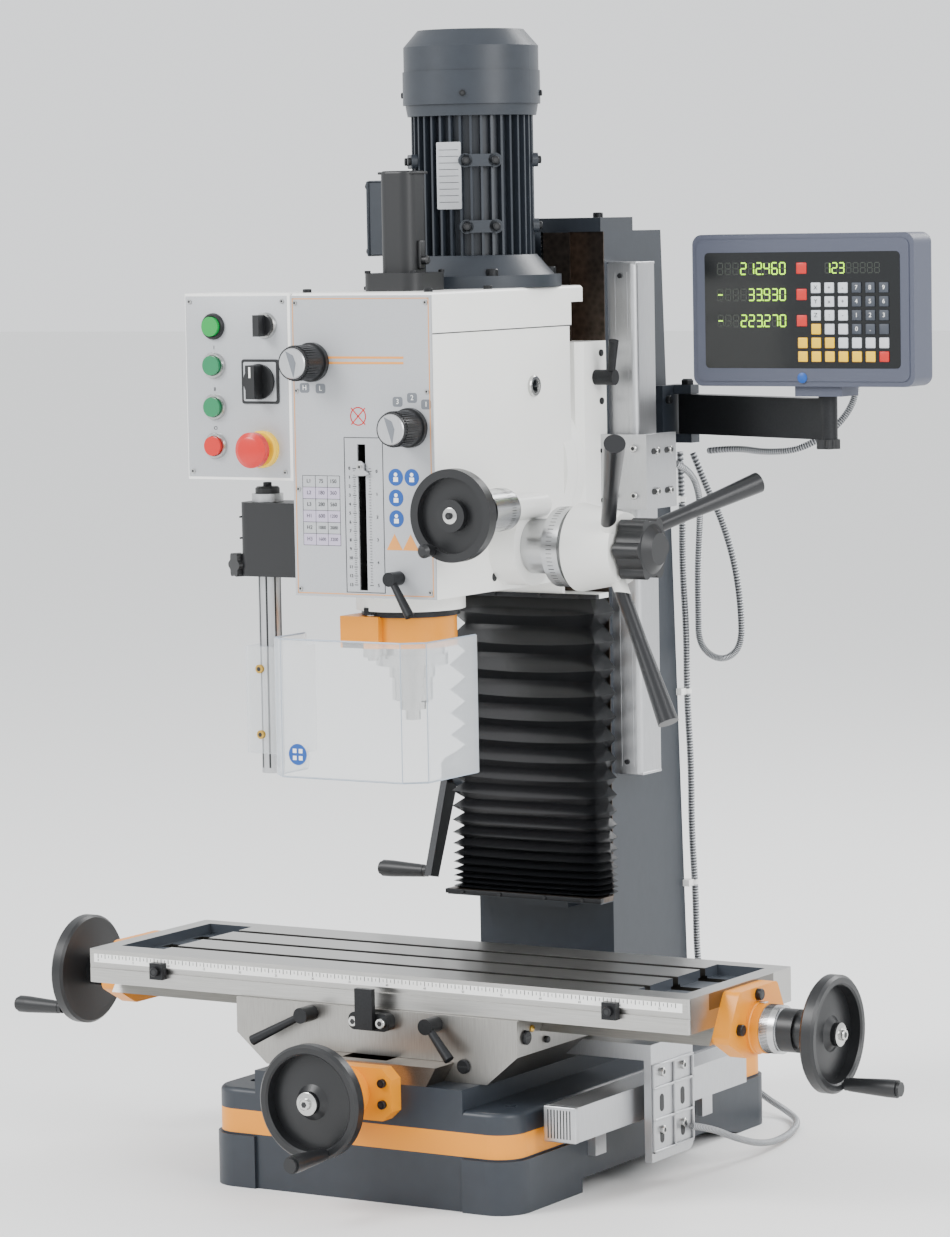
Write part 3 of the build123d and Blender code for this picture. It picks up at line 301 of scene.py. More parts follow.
def base_enamel():
    """Blue-grey enamel with an orange-yellow band along the foot and bright ground ways on top."""
    tree = start("Base enamel and ground ways")
    _, y, z = axes(tree)
    wave, paint = blue_grey_paint(tree)
    stripe = between(tree, z, 62 * MM, 89 * MM)
    ways = add(
        tree, "ShaderNodeMath",
        {
            0: add(tree, "ShaderNodeMath", {0: z, 1: 136.2 * MM}, operation="GREATER_THAN"),
            1: add(tree, "ShaderNodeMath", {0: 0.206, 1: y}, operation="GREATER_THAN"),
        },
        operation="MULTIPLY",
    )
    banded = add(
        tree, "ShaderNodeMix", {0: stripe, 6: paint, 7: linear("E58F06")}, data_type="RGBA"
    ).outputs[2]
    scraped = brushed(tree, (1.0, 0.03, 1.0))
    iron = add(
        tree, "ShaderNodeMix", {0: scraped, 6: linear("7C736A"), 7: linear("A39B92")}, data_type="RGBA"
    ).outputs[2]
    colour = add(tree, "ShaderNodeMix", {0: ways, 6: banded, 7: iron}, data_type="RGBA").outputs[2]
    rough = add(tree, "ShaderNodeMix", {0: ways, 2: 0.42, 3: 0.33})
    close(
        tree,
        {
            "Base Color": colour, "Metallic": ways, "Roughness": rough,
            "Normal": add(tree, "ShaderNodeBump", {"Height": wave, "Distance": 0.35 * MM, "Strength": 0.4}),
        },
    )


def column_enamel():
    """Blue-grey enamel with a brown, oily, frosted front where the slide runs."""
    tree = start("Column enamel and scraped ways")
    _, y, z = axes(tree)
    wave, paint = blue_grey_paint(tree)
    front = add(
        tree, "ShaderNodeMath",
        {
            0: add(tree, "ShaderNodeMath", {0: 0.2215, 1: y}, operation="GREATER_THAN"),
            1: between(tree, z, 0.2901, 1.0735),
        },
        operation="MULTIPLY",
    )
    flakes = add(tree, "ShaderNodeTexVoronoi", {"Vector": object_point(tree), "Scale": 1 / (7 * MM)})
    iron = add(
        tree, "ShaderNodeMix", {0: flakes, 6: linear("4A423C"), 7: linear("675C54")}, data_type="RGBA"
    ).outputs[2]
    cap = add(tree, "ShaderNodeMath", {0: z, 1: 1.0741}, operation="GREATER_THAN")
    colour = add(
        tree, "ShaderNodeMix",
        {
            0: cap, 6: add(tree, "ShaderNodeMix", {0: front, 6: paint, 7: iron}, data_type="RGBA").outputs[2],
            7: linear("262B32"),
        },
        data_type="RGBA",
    ).outputs[2]
    close(
        tree,
        {
            "Base Color": colour,
            "Metallic": front,
            "Roughness": add(tree, "ShaderNodeMix", {0: front, 2: 0.42, 3: 0.38}),
            "Normal": add(tree, "ShaderNodeBump", {"Height": wave, "Distance": 0.35 * MM, "Strength": 0.4}),
        },
    )


def yellow_enamel():
    """Orange-yellow enamel on the small brackets."""
    tree = start("Orange-yellow enamel")
    close(tree, {"Base Color": linear("E58F06"), "Roughness": 0.38, "Normal": orange_peel(tree)})


def depth_stop_finish():
    """Orange-yellow bracket on the quill with its bright ground rod."""
    tree = start("Yellow bracket and ground rod")
    z = axes(tree)[2]
    rod = add(tree, "ShaderNodeMath", {0: z, 1: 0.6495}, operation="GREATER_THAN")
    low = add(tree, "ShaderNodeMath", {0: 0.6129, 1: z}, operation="GREATER_THAN")
    steel = add(tree, "ShaderNodeMath", {0: rod, 1: low}, operation="MAXIMUM")
    colour = add(
        tree, "ShaderNodeMix", {0: steel, 6: linear("E58F06"), 7: linear("B9B9B7")}, data_type="RGBA"
    ).outputs[2]
    close(tree, {"Base Color": colour, "Metallic": steel, "Roughness": 0.34, "Normal": orange_peel(tree)})


def ground_table():
    """Surface-ground grey iron: bright, lined along its length, with dark painted end troughs and a darker
    grey painted into the T-slots as their shade.
    """
    tree = start("Surface-ground table iron")
    x, y, z = axes(tree)
    lines = brushed(tree, (0.02, 1.0, 1.0), 0.8)
    iron = add(
        tree, "ShaderNodeMix", {0: lines, 6: linear("9C9B98"), 7: linear("C6C5C2")}, data_type="RGBA"
    ).outputs[2]
    side = add(tree, "ShaderNodeMath", {0: x}, operation="ABSOLUTE").outputs[0]
    trough = add(
        tree, "ShaderNodeMath",
        {
            0: between(tree, side, 0.3169, 0.3781),
            1: add(tree, "ShaderNodeMath", {0: 0.2499, 1: z}, operation="GREATER_THAN"),
        },
        operation="MULTIPLY",
    )
    inside = add(
        tree, "ShaderNodeMath", {0: between(tree, y, -0.1201, 0.0621), 1: trough}, operation="MULTIPLY"
    )
    trough_floor = add(
        tree, "ShaderNodeMath",
        {0: inside, 1: add(tree, "ShaderNodeMath", {0: z, 1: 0.2379}, operation="GREATER_THAN")},
        operation="MULTIPLY",
    )
    # Darker grey inside the T-slots: painted shade.
    slots = add(
        tree, "ShaderNodeMath",
        {
            0: add(tree, "ShaderNodeMath", {0: 0.2495, 1: z}, operation="GREATER_THAN"),
            1: add(
                tree, "ShaderNodeMath",
                {
                    0: add(tree, "ShaderNodeMath", {0: z, 1: 0.2312}, operation="GREATER_THAN"),
                    1: between(tree, y, -0.11, 0.04),
                },
                operation="MULTIPLY",
            ),
        },
        operation="MULTIPLY",
    )
    colour = add(
        tree, "ShaderNodeMix",
        {
            0: trough_floor,
            6: add(
                tree, "ShaderNodeMix", {0: slots, 6: iron, 7: linear("6F6D69")}, data_type="RGBA"
            ).outputs[2],
            7: linear("3A3F46"),
        },
        data_type="RGBA",
    ).outputs[2]
    rough = add(tree, "ShaderNodeMix", {0: lines, 2: 0.24, 3: 0.4})
    metal = add(tree, "ShaderNodeMath", {0: 1.0, 1: trough_floor}, operation="SUBTRACT")
    close(
        tree,
        {
            "Base Color": colour, "Metallic": metal, "Roughness": rough,
            "Normal": add(tree, "ShaderNodeBump", {"Height": lines, "Distance": 0.05 * MM, "Strength": 0.3}),
        },
    )


def threaded_steel():
    """Rolled trapezoidal thread of the feed screws, 5 mm from crest to crest."""
    tree = start("Threaded feed screw steel")
    x, y, z = axes(tree)
    along = add(tree, "ShaderNodeMath", {0: x, 1: y}, operation="ADD")
    total = add(tree, "ShaderNodeMath", {0: along, 1: z}, operation="ADD")
    phase = add(tree, "ShaderNodeMath", {0: total, 1: 2 * pi / (5 * MM)}, operation="MULTIPLY")
    crest = add(tree, "ShaderNodeMath", {0: phase}, operation="SINE")
    close(
        tree,
        {
            "Base Color": linear("A9A8A4"), "Metallic": 1.0, "Roughness": 0.3,
            "Normal": add(tree, "ShaderNodeBump", {"Height": crest, "Distance": 1.0 * MM, "Strength": 1.0}),
        },
    )


def blackened_steel():
    """Oil-blackened steel: dark, with a low sheen."""
    tree = start("Oil-blackened steel")
    grain = add(tree, "ShaderNodeTexNoise", {"Vector": object_point(tree), "Scale": 400.0, "Detail": 3.0})
    colour = add(
        tree, "ShaderNodeMix", {0: grain, 6: linear("1C1D1F"), 7: linear("2B2C2E")}, data_type="RGBA"
    ).outputs[2]
    close(
        tree,
        {
            "Base Color": colour, "Metallic": 0.6, "Roughness": 0.4,
            "Normal": add(tree, "ShaderNodeBump", {"Height": grain, "Distance": 0.05 * MM, "Strength": 0.3}),
        },
    )


def silver_panel():
    """Silver-printed control panel: a flat, finely sparkled grey."""
    tree = start("Silver printed panel")
    spark = add(tree, "ShaderNodeTexNoise", {"Vector": object_point(tree), "Scale": 900.0, "Detail": 2.0})
    colour = add(
        tree, "ShaderNodeMix", {0: spark, 6: linear("A9ABAE"), 7: linear("B9BBBE")}, data_type="RGBA"
    ).outputs[2]
    close(tree, {"Base Color": colour, "Metallic": 0.35, "Roughness": 0.42})


def wheel_and_dial(name, axis, low, high):
    """Black moulded wheel whose index dial, between two places on its axis, is satin chrome."""
    tree = start(name)
    place = axes(tree)[axis]
    along = add(tree, "ShaderNodeMath", {0: place}, operation="ABSOLUTE").outputs[0]
    dial = between(tree, along, low, high)
    colour = add(
        tree, "ShaderNodeMix", {0: dial, 6: linear("17181A"), 7: linear("C2C3C4")}, data_type="RGBA"
    ).outputs[2]
    rough = add(tree, "ShaderNodeMix", {0: dial, 2: 0.38, 3: 0.26})
    close(tree, {"Base Color": colour, "Metallic": dial, "Roughness": rough})


def feed_hub_finish():
    """Quill feed: satin barrel and dial, white enamelled cone, black lever arms."""
    tree = start("Feed hub finishes")
    x, y, z = axes(tree)
    off_axis = around(tree, y, z, (FEED.y, FEED.z))
    metal = add(tree, "ShaderNodeMath", {0: 0.188, 1: x}, operation="GREATER_THAN")
    lever = add(tree, "ShaderNodeMath", {0: off_axis, 1: 0.0505}, operation="GREATER_THAN")
    body = add(
        tree, "ShaderNodeMix", {0: metal, 6: linear("E4E4E0"), 7: linear("C0C1C2")}, data_type="RGBA"
    ).outputs[2]
    colour = add(tree, "ShaderNodeMix", {0: lever, 6: body, 7: linear("16171A")}, data_type="RGBA").outputs[2]
    bare = add(
        tree, "ShaderNodeMath",
        {0: metal, 1: add(tree, "ShaderNodeMath", {0: 0.0505, 1: off_axis}, operation="GREATER_THAN")},
        operation="MULTIPLY",
    )
    close(tree, {"Base Color": colour, "Metallic": bare, "Roughness": 0.3})


def clear_guard():
    """Clear polycarbonate: nearly unseen from the front, greyer and bluer along its edges where it is seen at
    a glancing angle, a painted reflection.
    """
    tree = start("Polycarbonate shield and holder")
    # Grey-blue colour at glancing angles stands in for the sheet's reflection: painted reflection.
    edge = add(tree, "ShaderNodeLayerWeight", {"Blend": 0.25}).outputs[1]
    colour = add(
        tree, "ShaderNodeMix", {0: edge, 6: linear("F6F9FA"), 7: linear("AEB9C6")}, data_type="RGBA"
    ).outputs[2]
    cover = add(tree, "ShaderNodeMix", {0: edge, 2: 0.13, 3: 0.95})
    close(tree, {"Base Color": colour, "Roughness": 0.04, "IOR": 1.58, "Alpha": cover})


def lined_metal(name, stretch, pitch, dark, light, rough, deep):
    """Bare metal with fine tool lines, which draw its reflection out across them."""
    tree = start(name)
    lines = brushed(tree, stretch, pitch)
    colour = add(
        tree, "ShaderNodeMix", {0: lines, 6: linear(dark), 7: linear(light)}, data_type="RGBA"
    ).outputs[2]
    close(
        tree,
        {
            "Base Color": colour, "Metallic": 1.0, "Roughness": rough,
            "Normal": add(tree, "ShaderNodeBump", {"Height": lines, "Distance": deep * MM, "Strength": 0.3}),
        },
    )


def grained(name, code, rough, pitch, deep, strength):
    """One colour under a fine grain that breaks up its highlight."""
    tree = start(name)
    grain = add(
        tree, "ShaderNodeTexNoise", {"Vector": object_point(tree), "Scale": 1 / (pitch * MM), "Detail": 2.0}
    )
    close(
        tree,
        {
            "Base Color": linear(code), "Roughness": rough,
            "Normal": add(
                tree, "ShaderNodeBump", {"Height": grain, "Distance": deep * MM, "Strength": strength}
            ),
        },
    )


def plastic(name, code, rough=0.25):
    """Glossy moulded or printed colour."""
    tree = start(name)
    close(tree, {"Base Color": linear(code), "Roughness": rough})


def lit(name, code, strength):
    """Lit lens or display segment."""
    tree = start(name)
    sockets = {"Base Color": linear(code), "Emission Color": linear(code), "Emission Strength": strength}
    close(tree, {**sockets, "Roughness": 0.3})


def brass():
    """Turned brass."""
    tree = start("Turned brass")
    close(tree, {"Base Color": linear("C9A24E"), "Metallic": 1.0, "Roughness": 0.28})


def conduit(length, turn):
    """Galvanised spiral armour: for each turn of the strip, a painted highlight along the rib and painted
    shade in the groove beside it.
    """
    tree = start("Spiral armoured conduit")
    uv = add(tree, "ShaderNodeTexCoord").outputs["UV"]
    u = add(tree, "ShaderNodeSeparateXYZ", {0: uv})
    phase = add(tree, "ShaderNodeMath", {0: u, 1: 2 * pi * length / turn}, operation="MULTIPLY")
    rib = add(tree, "ShaderNodeMath", {0: phase}, operation="SINE")
    # Light and dark bands with the ribs: painted highlight on each crest and painted shade in each groove.
    shade = add(tree, "ShaderNodeMath", {0: rib, 1: 0.5, 2: 0.5}, operation="MULTIPLY_ADD")
    colour = add(
        tree, "ShaderNodeMix", {0: shade, 6: linear("5A5C5F"), 7: linear("C3C5C8")}, data_type="RGBA"
    ).outputs[2]
    close(
        tree,
        {
            "Base Color": colour, "Metallic": 0.9, "Roughness": 0.34,
            "Normal": add(tree, "ShaderNodeBump", {"Height": rib, "Distance": 0.8 * MM, "Strength": 1.0}),
        },
    )
    return MADE["Spiral armoured conduit"]


def make_materials():
    """Every finish, made once."""
    for maker in (
        white_enamel, blue_grey_enamel, base_enamel, column_enamel, yellow_enamel, depth_stop_finish,
        ground_table, threaded_steel, blackened_steel, silver_panel, feed_hub_finish, clear_guard, brass,
    ):
        maker()
    # milled grey iron of the saddle flanks, duller than the table
    lined_metal("Machined saddle iron", (1.0, 1.0, 0.05), 1.2, "8E8C88", "B0AEAA", 0.36, 0.05)
    # ground screws, quill and spindle: a clear reflection with faint rings
    lined_metal("Ground bright steel", (0.3, 0.3, 1.0), 0.8, "B4B4B2", "D0D0CE", 0.22, 0.02)
    # die-cast and extruded aluminium: pale grey, softly lined
    lined_metal("Satin aluminium", (1.0, 1.0, 0.05), 0.8, "B3B4B6", "CCCDCF", 0.38, 0.03)
    # glass-filled nylon of wheels and knobs: black with a spark-eroded grain
    grained("Black moulded nylon", "17181A", 0.42, 0.9, 0.04, 0.35)
    # rubber-proofed nylon cloth: black, shiny and faintly woven
    grained("Rubberised bellows cloth", "121315", 0.24, 1.2, 0.04, 0.25)
    # powder coat of the read-out: slate blue with a leathery texture
    grained("Slate powder coat", "454958", 0.5, 1.1, 0.1, 0.5)
    # satin chrome dials beside black wheels
    wheel_and_dial("X wheels and dials", 0, 0.430, 0.4535)
    wheel_and_dial("Y wheel and dial", 1, 0.250, 0.2667)
    wheel_and_dial("Fine feed wheel and dial", 1, 0.071, 0.1195)
    # moulded lenses and knobs: deep colour and a clear highlight
    plastic("Green button lens", "1D7A4E", 0.3)
    plastic("Red button lens", "C4231C", 0.3)
    plastic("Signal red", "C51F1A")
    plastic("Signal yellow", "F2C31B")
    # screen-printed inks: flat colour, little gloss; the black one also paints shade into sockets, slots,
    # vents and grooves
    plastic("Black print and painted shade", "1B1C1E", 0.45)
    plastic("Printed white", "F1F1EE", 0.45)
    plastic("Printed blue", "0E4A97", 0.4)
    plastic("Printed orange", "DE9444", 0.4)
    plastic("Printed slate", "6B6F75", 0.4)
    plastic("Printed lilac", "B4ABC0", 0.4)
    # smooth sheet and soft keys, then lenses and figures lit from behind
    plastic("Sawn polycarbonate edge", "98A6B6", 0.3)
    plastic("Display window", "0B0E10", 0.12)
    plastic("Soft key grey", "C9CDD2", 0.5)
    lit("Lit green lens", "0E8A3C", 0.35)
    lit("Lit digit", "A6E818", 1.6)
    plastic("Unlit segment", "2B302B", 0.3)
    plastic("Dark key", "3A3F48", 0.5)
    tree = start("Floor")
    close(tree, {"Base Color": linear("F2F2F1"), "Roughness": 0.75})


NODE_FINISH = {
    "Base enamel and ground ways": ["base_casting"],
    "Column enamel and scraped ways": ["column_casting"],
    "Blue-grey machine enamel": ["motor_housing", "motor_fan_cover"],
    "White machine enamel": ["z_slide_casting", "head_casting", "head_lid", "control_box"],
    "Orange-yellow enamel": ["y_screw_bracket", "x_screw_brackets"],
    "Yellow bracket and ground rod": ["depth_stop"],
    "Surface-ground table iron": ["table_casting"],
    "Machined saddle iron": ["saddle_casting"],
    "Ground bright steel": ["quill", "spindle", "motor_rotor"],
    "Threaded feed screw steel": ["x_screw", "y_screw", "z_screw"],
    "Oil-blackened steel": [
        "stop_block", "saddle_clamp_left", "saddle_clamp_right", "table_stop_left", "table_stop_right",
        "z_crank", "z_clamp_lever", "quill_lock_lever", "dro_arm",
    ],
    "Satin aluminium": ["scale_covers", "y_reader_bracket", "z_reader_bracket", "guard_post"],
    "Silver printed panel": ["front_panel"],
    "Black moulded nylon": [
        "x_grip_left", "x_grip_right", "y_grip", "z_crank_grip", "drawbar_cover", "guard_block", "star_knob",
        "range_knob", "speed_knob", "mode_selector", "main_switch",
    ],
    "X wheels and dials": ["x_handwheels"],
    "Y wheel and dial": ["y_handwheel"],
    "Fine feed wheel and dial": ["fine_feed_wheel"],
    "Feed hub finishes": ["feed_hub"],
    "Slate powder coat": ["dro_housing"],
    "Polycarbonate shield and holder": ["guard_shield"],
    "Turned brass": ["feed_nuts"],
    "Lit green lens": ["power_button"],
    "Green button lens": ["start_button", "reverse_button"],
    "Red button lens": ["stop_button"],
    "Signal red": ["estop_button"],
}


# ------------------------------------------------------------------ building shapes


def facing(direction, up=Z):
    """Turn that lays local Z along a direction and local Y as near to up as it goes."""
    forward = Vector(direction).normalized()
    side = Vector(up).cross(forward)
    side = Vector((1, 0, 0)) if side.length < 1e-6 else side.normalized()
    over = forward.cross(side)
    return Matrix((side, over, forward)).transposed().to_4x4()


def seat(centre, direction, up=Z):
    """Place whose origin is at centre and whose local Z runs along direction."""
    return Matrix.Translation(Vector(centre)) @ facing(direction, up)


def slab(mesh, low, high, soft=0.0):
    """Box between two corners, its edges softened."""
    low, high = Vector(low), Vector(high)
    made = bmesh.ops.create_cube(mesh, size=1.0)["verts"]
    bmesh.ops.scale(mesh, vec=high - low, verts=made)
    bmesh.ops.translate(mesh, vec=(low + high) / 2, verts=made)
    if soft:
        edges = list({edge for vert in made for edge in vert.link_edges})
        bmesh.ops.bevel(mesh, geom=edges, offset=soft, segments=3, affect="EDGES", profile=0.5)
    return mesh


def lathe(mesh, place, profile, sides=48):
    """Closed turned form from (distance along local Z, radius) pairs; ends of no radius close to a point."""
    rings = []
    for along, radius in profile:
        if radius < 1e-7:
            rings.append([mesh.verts.new(place @ Vector((0, 0, along)))])
            continue
        ring = []
        for step in range(sides):
            angle = 2 * pi * step / sides
            ring.append(mesh.verts.new(place @ Vector((radius * cos(angle), radius * sin(angle), along))))
        rings.append(ring)
    for lower, upper in zip(rings, rings[1:]):
        for step in range(sides):
            after = (step + 1) % sides
            corners = [
                lower[step % len(lower)], lower[after % len(lower)], upper[after % len(upper)],
                upper[step % len(upper)],
            ]
            unique = list(dict.fromkeys(corners))
            if len(unique) > 2:
                mesh.faces.new(unique)
    if len(rings[0]) > 1:
        mesh.faces.new(list(reversed(rings[0])))
    if len(rings[-1]) > 1:
        mesh.faces.new(rings[-1])
    return mesh


def cut_out(mesh, place, outline, thick):
    """Straight extrusion of an outline in the local XY plane."""
    floor = [mesh.verts.new(place @ Vector((x, y, 0))) for x, y in outline]
    roof = [mesh.verts.new(place @ Vector((x, y, thick))) for x, y in outline]
    mesh.faces.new(list(reversed(floor)))
    mesh.faces.new(roof)
    for step in range(len(outline)):
        after = (step + 1) % len(outline)
        mesh.faces.new([floor[step], floor[after], roof[after], roof[step]])
    return mesh


def round_box(width, height, radius, steps=6):
    """Outline of a rectangle with round corners."""
    points = []
    for corner, (sx, sy) in enumerate(((1, 1), (-1, 1), (-1, -1), (1, -1))):
        for step in range(steps + 1):
            angle = pi / 2 * (corner + step / steps)
            points.append(
                (
                    sx * (width / 2 - radius) + radius * cos(angle),
                    sy * (height / 2 - radius) + radius * sin(angle),
                )
            )
    return points


def lobed(radius, lobes, deep, steps=96):
    """Outline of a star knob: a circle with rounded lobes."""
    points = []
    for step in range(steps):
        angle = 2 * pi * step / steps
        reach = radius + deep * cos(lobes * angle)
        points.append((reach * cos(angle), reach * sin(angle)))
    return points


def finished(name, mesh, body, finish, smooth=True, angle=0.6):
    """Turn a bmesh into a piece at the origin, with its finish and its body."""
    bmesh.ops.recalc_face_normals(mesh, faces=mesh.faces[:])
    data = bpy.data.meshes.new(name)
    mesh.to_mesh(data)
    mesh.free()
    return settled(name, data, body, [finish], smooth, angle)


def settled(name, data, body, finishes, smooth=True, angle=0.6):
    """Object of a mesh, at the origin, riding on its body when one is named."""
    if finishes:
        data.materials.clear()
        for finish in finishes:
            data.materials.append(MADE[finish])
    if smooth:
        data.shade_smooth()
        data.set_sharp_from_angle(angle=angle)
    piece = bpy.data.objects.new(name, data)
    bpy.context.scene.collection.objects.link(piece)
    if body:
        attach(piece, body)
    return piece


# ------------------------------------------------------------------ geometry node trees


def new_tree(name, sockets):
    """Geometry tree with named inputs; gives the tree and its input node."""
    tree = bpy.data.node_groups.new(name, "GeometryNodeTree")
    tree.interface.new_socket("Geometry", in_out="INPUT", socket_type="NodeSocketGeometry")
    for label, kind in sockets:
        tree.interface.new_socket(label, in_out="INPUT", socket_type=kind)
    tree.interface.new_socket("Geometry", in_out="OUTPUT", socket_type="NodeSocketGeometry")
    return tree, add(tree, "NodeGroupInput")


def end_tree(tree, geometry):
    """Real geometry at the end of a tree."""
    real = add(tree, "GeometryNodeRealizeInstances", {0: geometry})
    add(tree, "NodeGroupOutput", {0: real})


def screw_tree():
    """Socket head screws on points, each standing along the point's own facing."""
    tree, entry = new_tree(
        "Socket screws",
        [
            ("Radius", "NodeSocketFloat"), ("Height", "NodeSocketFloat"), ("Sides", "NodeSocketInt"),
            ("Head finish", "NodeSocketMaterial"), ("Socket finish", "NodeSocketMaterial"),
        ],
    )
    radius, height, sides = entry.outputs["Radius"], entry.outputs["Height"], entry.outputs["Sides"]
    shank = add(tree, "ShaderNodeMath", {0: height, 1: 0.85}, operation="MULTIPLY")
    edge = add(tree, "ShaderNodeMath", {0: height, 1: 0.15}, operation="MULTIPLY")
    narrow = add(tree, "ShaderNodeMath", {0: radius, 1: 0.88}, operation="MULTIPLY")
    lower = add(
        tree, "GeometryNodeMeshCone",
        {"Vertices": sides, "Radius Top": radius, "Radius Bottom": radius, "Depth": shank},
    )
    upper = add(
        tree, "GeometryNodeMeshCone",
        {"Vertices": sides, "Radius Top": narrow, "Radius Bottom": radius, "Depth": edge},
    )
    lift = add(tree, "ShaderNodeCombineXYZ", {2: shank})
    raised = add(tree, "GeometryNodeTransform", {"Geometry": upper, "Translation": lift})
    head = add(tree, "GeometryNodeJoinGeometry", {0: lower})
    tree.links.new(raised.outputs[0], head.inputs[0])
    painted = add(tree, "GeometryNodeSetMaterial", {0: head, 2: entry.outputs["Head finish"]})
    across = add(tree, "ShaderNodeMath", {0: radius, 1: 0.56}, operation="MULTIPLY")
    tall = add(tree, "ShaderNodeMath", {0: height, 1: 1.01}, operation="MULTIPLY")
    # The hex socket is a black prism just proud of the head: painted shade in the socket's recess.
    key = add(
        tree, "GeometryNodeMeshCone",
        {"Vertices": 6, "Radius Top": across, "Radius Bottom": across, "Depth": tall},
    )
    dark = add(tree, "GeometryNodeSetMaterial", {0: key, 2: entry.outputs["Socket finish"]})
    screw = add(tree, "GeometryNodeJoinGeometry", {0: painted})
    tree.links.new(dark.outputs[0], screw.inputs[0])
    aim = add(tree, "GeometryNodeInputNamedAttribute", {"Name": "facing"}, data_type="FLOAT_VECTOR")
    turn = add(tree, "FunctionNodeAlignRotationToVector", {"Vector": aim}, axis="Z")
    spread = add(
        tree, "GeometryNodeInstanceOnPoints",
        {"Points": entry.outputs[0], "Instance": screw, "Rotation": turn},
    )
    end_tree(tree, spread.outputs[0])
    return tree


def mark_size(tree, entry, index):
    """The long size for every so many marks, and the short one for the rest."""
    rest = add(tree, "ShaderNodeMath", {0: index, 1: entry.outputs["Long every"]}, operation="MODULO")
    short = add(tree, "ShaderNodeMath", {0: rest, 1: 0.5}, operation="GREATER_THAN")
    return add(
        tree, "ShaderNodeMix",
        {0: short, 4: entry.outputs["Long size"], 5: entry.outputs["Size"]}, data_type="VECTOR",
    ).outputs[1]


def row_tree():
    """Bars in a straight row along local X, a longer one every so many."""
    tree, entry = new_tree(
        "Row of bars",
        [
            ("Count", "NodeSocketInt"), ("Step", "NodeSocketVector"), ("Size", "NodeSocketVector"),
            ("Long size", "NodeSocketVector"), ("Long every", "NodeSocketInt"),
            ("Finish", "NodeSocketMaterial"),
        ],
    )
    line = add(
        tree, "GeometryNodeMeshLine", {"Count": entry.outputs["Count"], "Offset": entry.outputs["Step"]}
    )
    index = add(tree, "GeometryNodeInputIndex").outputs[0]
    size = mark_size(tree, entry, index)
    cube = add(tree, "GeometryNodeMeshCube", {"Size": (1, 1, 1)})
    spread = add(
        tree, "GeometryNodeInstanceOnPoints", {"Points": line, "Instance": cube, "Scale": size}
    )
    painted = add(tree, "GeometryNodeSetMaterial", {0: spread, 2: entry.outputs["Finish"]})
    end_tree(tree, painted.outputs[0])
    return tree


def ring_tree():
    """Bars round local Z at a radius, a longer one every so many."""
    tree, entry = new_tree(
        "Ring of bars",
        [
            ("Count", "NodeSocketInt"), ("Radius", "NodeSocketFloat"), ("First", "NodeSocketFloat"),
            ("Turn", "NodeSocketFloat"), ("Size", "NodeSocketVector"), ("Long size", "NodeSocketVector"),
            ("Long every", "NodeSocketInt"), ("Finish", "NodeSocketMaterial"),
        ],
    )
    index = add(tree, "GeometryNodeInputIndex").outputs[0]
    angle = add(
        tree, "ShaderNodeMath",
        {0: index, 1: entry.outputs["Turn"], 2: entry.outputs["First"]}, operation="MULTIPLY_ADD",
    )
    across = add(tree, "ShaderNodeMath", {0: angle}, operation="COSINE")
    upward = add(tree, "ShaderNodeMath", {0: angle}, operation="SINE")
    aim = add(tree, "ShaderNodeCombineXYZ", {0: across, 1: upward})
    spot = add(tree, "ShaderNodeVectorMath", {0: aim, "Scale": entry.outputs["Radius"]}, operation="SCALE")
    line = add(tree, "GeometryNodeMeshLine", {"Count": entry.outputs["Count"]})
    placed = add(tree, "GeometryNodeSetPosition", {"Geometry": line, "Position": spot})
    size = mark_size(tree, entry, index)
    turn = add(tree, "ShaderNodeCombineXYZ", {2: angle})
    cube = add(tree, "GeometryNodeMeshCube", {"Size": (1, 1, 1)})
    spread = add(
        tree, "GeometryNodeInstanceOnPoints",
        {"Points": placed, "Instance": cube, "Rotation": turn, "Scale": size},
    )
    painted = add(tree, "GeometryNodeSetMaterial", {0: spread, 2: entry.outputs["Finish"]})
    end_tree(tree, painted.outputs[0])
    return tree


TREES = {}


def grown(name, kind, values, source=None, place=None):
    """Run a tree on a source mesh and give back the plain mesh that it makes, put in its place."""
    if kind not in TREES:
        TREES[kind] = {"screws": screw_tree, "row": row_tree, "ring": ring_tree}[kind]()
    tree = TREES[kind]
    holder = bpy.data.objects.new(name + " source", source or bpy.data.meshes.new(name + " source"))
    bpy.context.scene.collection.objects.link(holder)
    modifier = holder.modifiers.new("Build", "NODES")
    modifier.node_group = tree
    for item in tree.interface.items_tree:
        if item.item_type == "SOCKET" and item.in_out == "INPUT" and item.name in values:
            modifier[item.identifier] = values[item.name]
    ready = holder.evaluated_get(bpy.context.evaluated_depsgraph_get())
    data = bpy.data.meshes.new_from_object(ready)
    holder.modifiers.remove(modifier)
    bpy.data.objects.remove(holder)
    data.name = name
    if place:
        data.transform(place)
    return data


def socket_screws(
    name, body, spots, radius=None, height=None, head="Oil-blackened steel"
):
    """Screws standing at (point, direction) pairs on one body."""
    sizes = bpy.context.scene.mill_fasteners
    source = bpy.data.meshes.new(name + " points")
    source.from_pydata([tuple(point) for point, _ in spots], [], [])
    aim = source.attributes.new("facing", "FLOAT_VECTOR", "POINT")
    for index, (_, direction) in enumerate(spots):
        aim.data[index].vector = Vector(direction).normalized()
    # Sockets take the black finish: painted shade in their recess.
    values = {
        "Radius": radius or sizes.head_radius, "Height": height or sizes.head_height, "Sides": sizes.sides,
        "Head finish": MADE[head], "Socket finish": MADE["Black print and painted shade"],
    }
    return settled(name, grown(name, "screws", values, source), body, None, angle=0.5)


def tick_row(
    name, body, place, count, step, short, tall, every, finish="Black print and painted shade"
):
    """Row of graduation marks along local X of a place; short and tall are (width, length)."""
    values = {
        "Count": count, "Step": (step, 0, 0), "Size": (short[0], short[1], 0.4 * MM),
        "Long size": (tall[0], tall[1], 0.4 * MM), "Long every": every, "Finish": MADE[finish],
    }
    return settled(name, grown(name, "row", values, None, place), body, None, smooth=False)


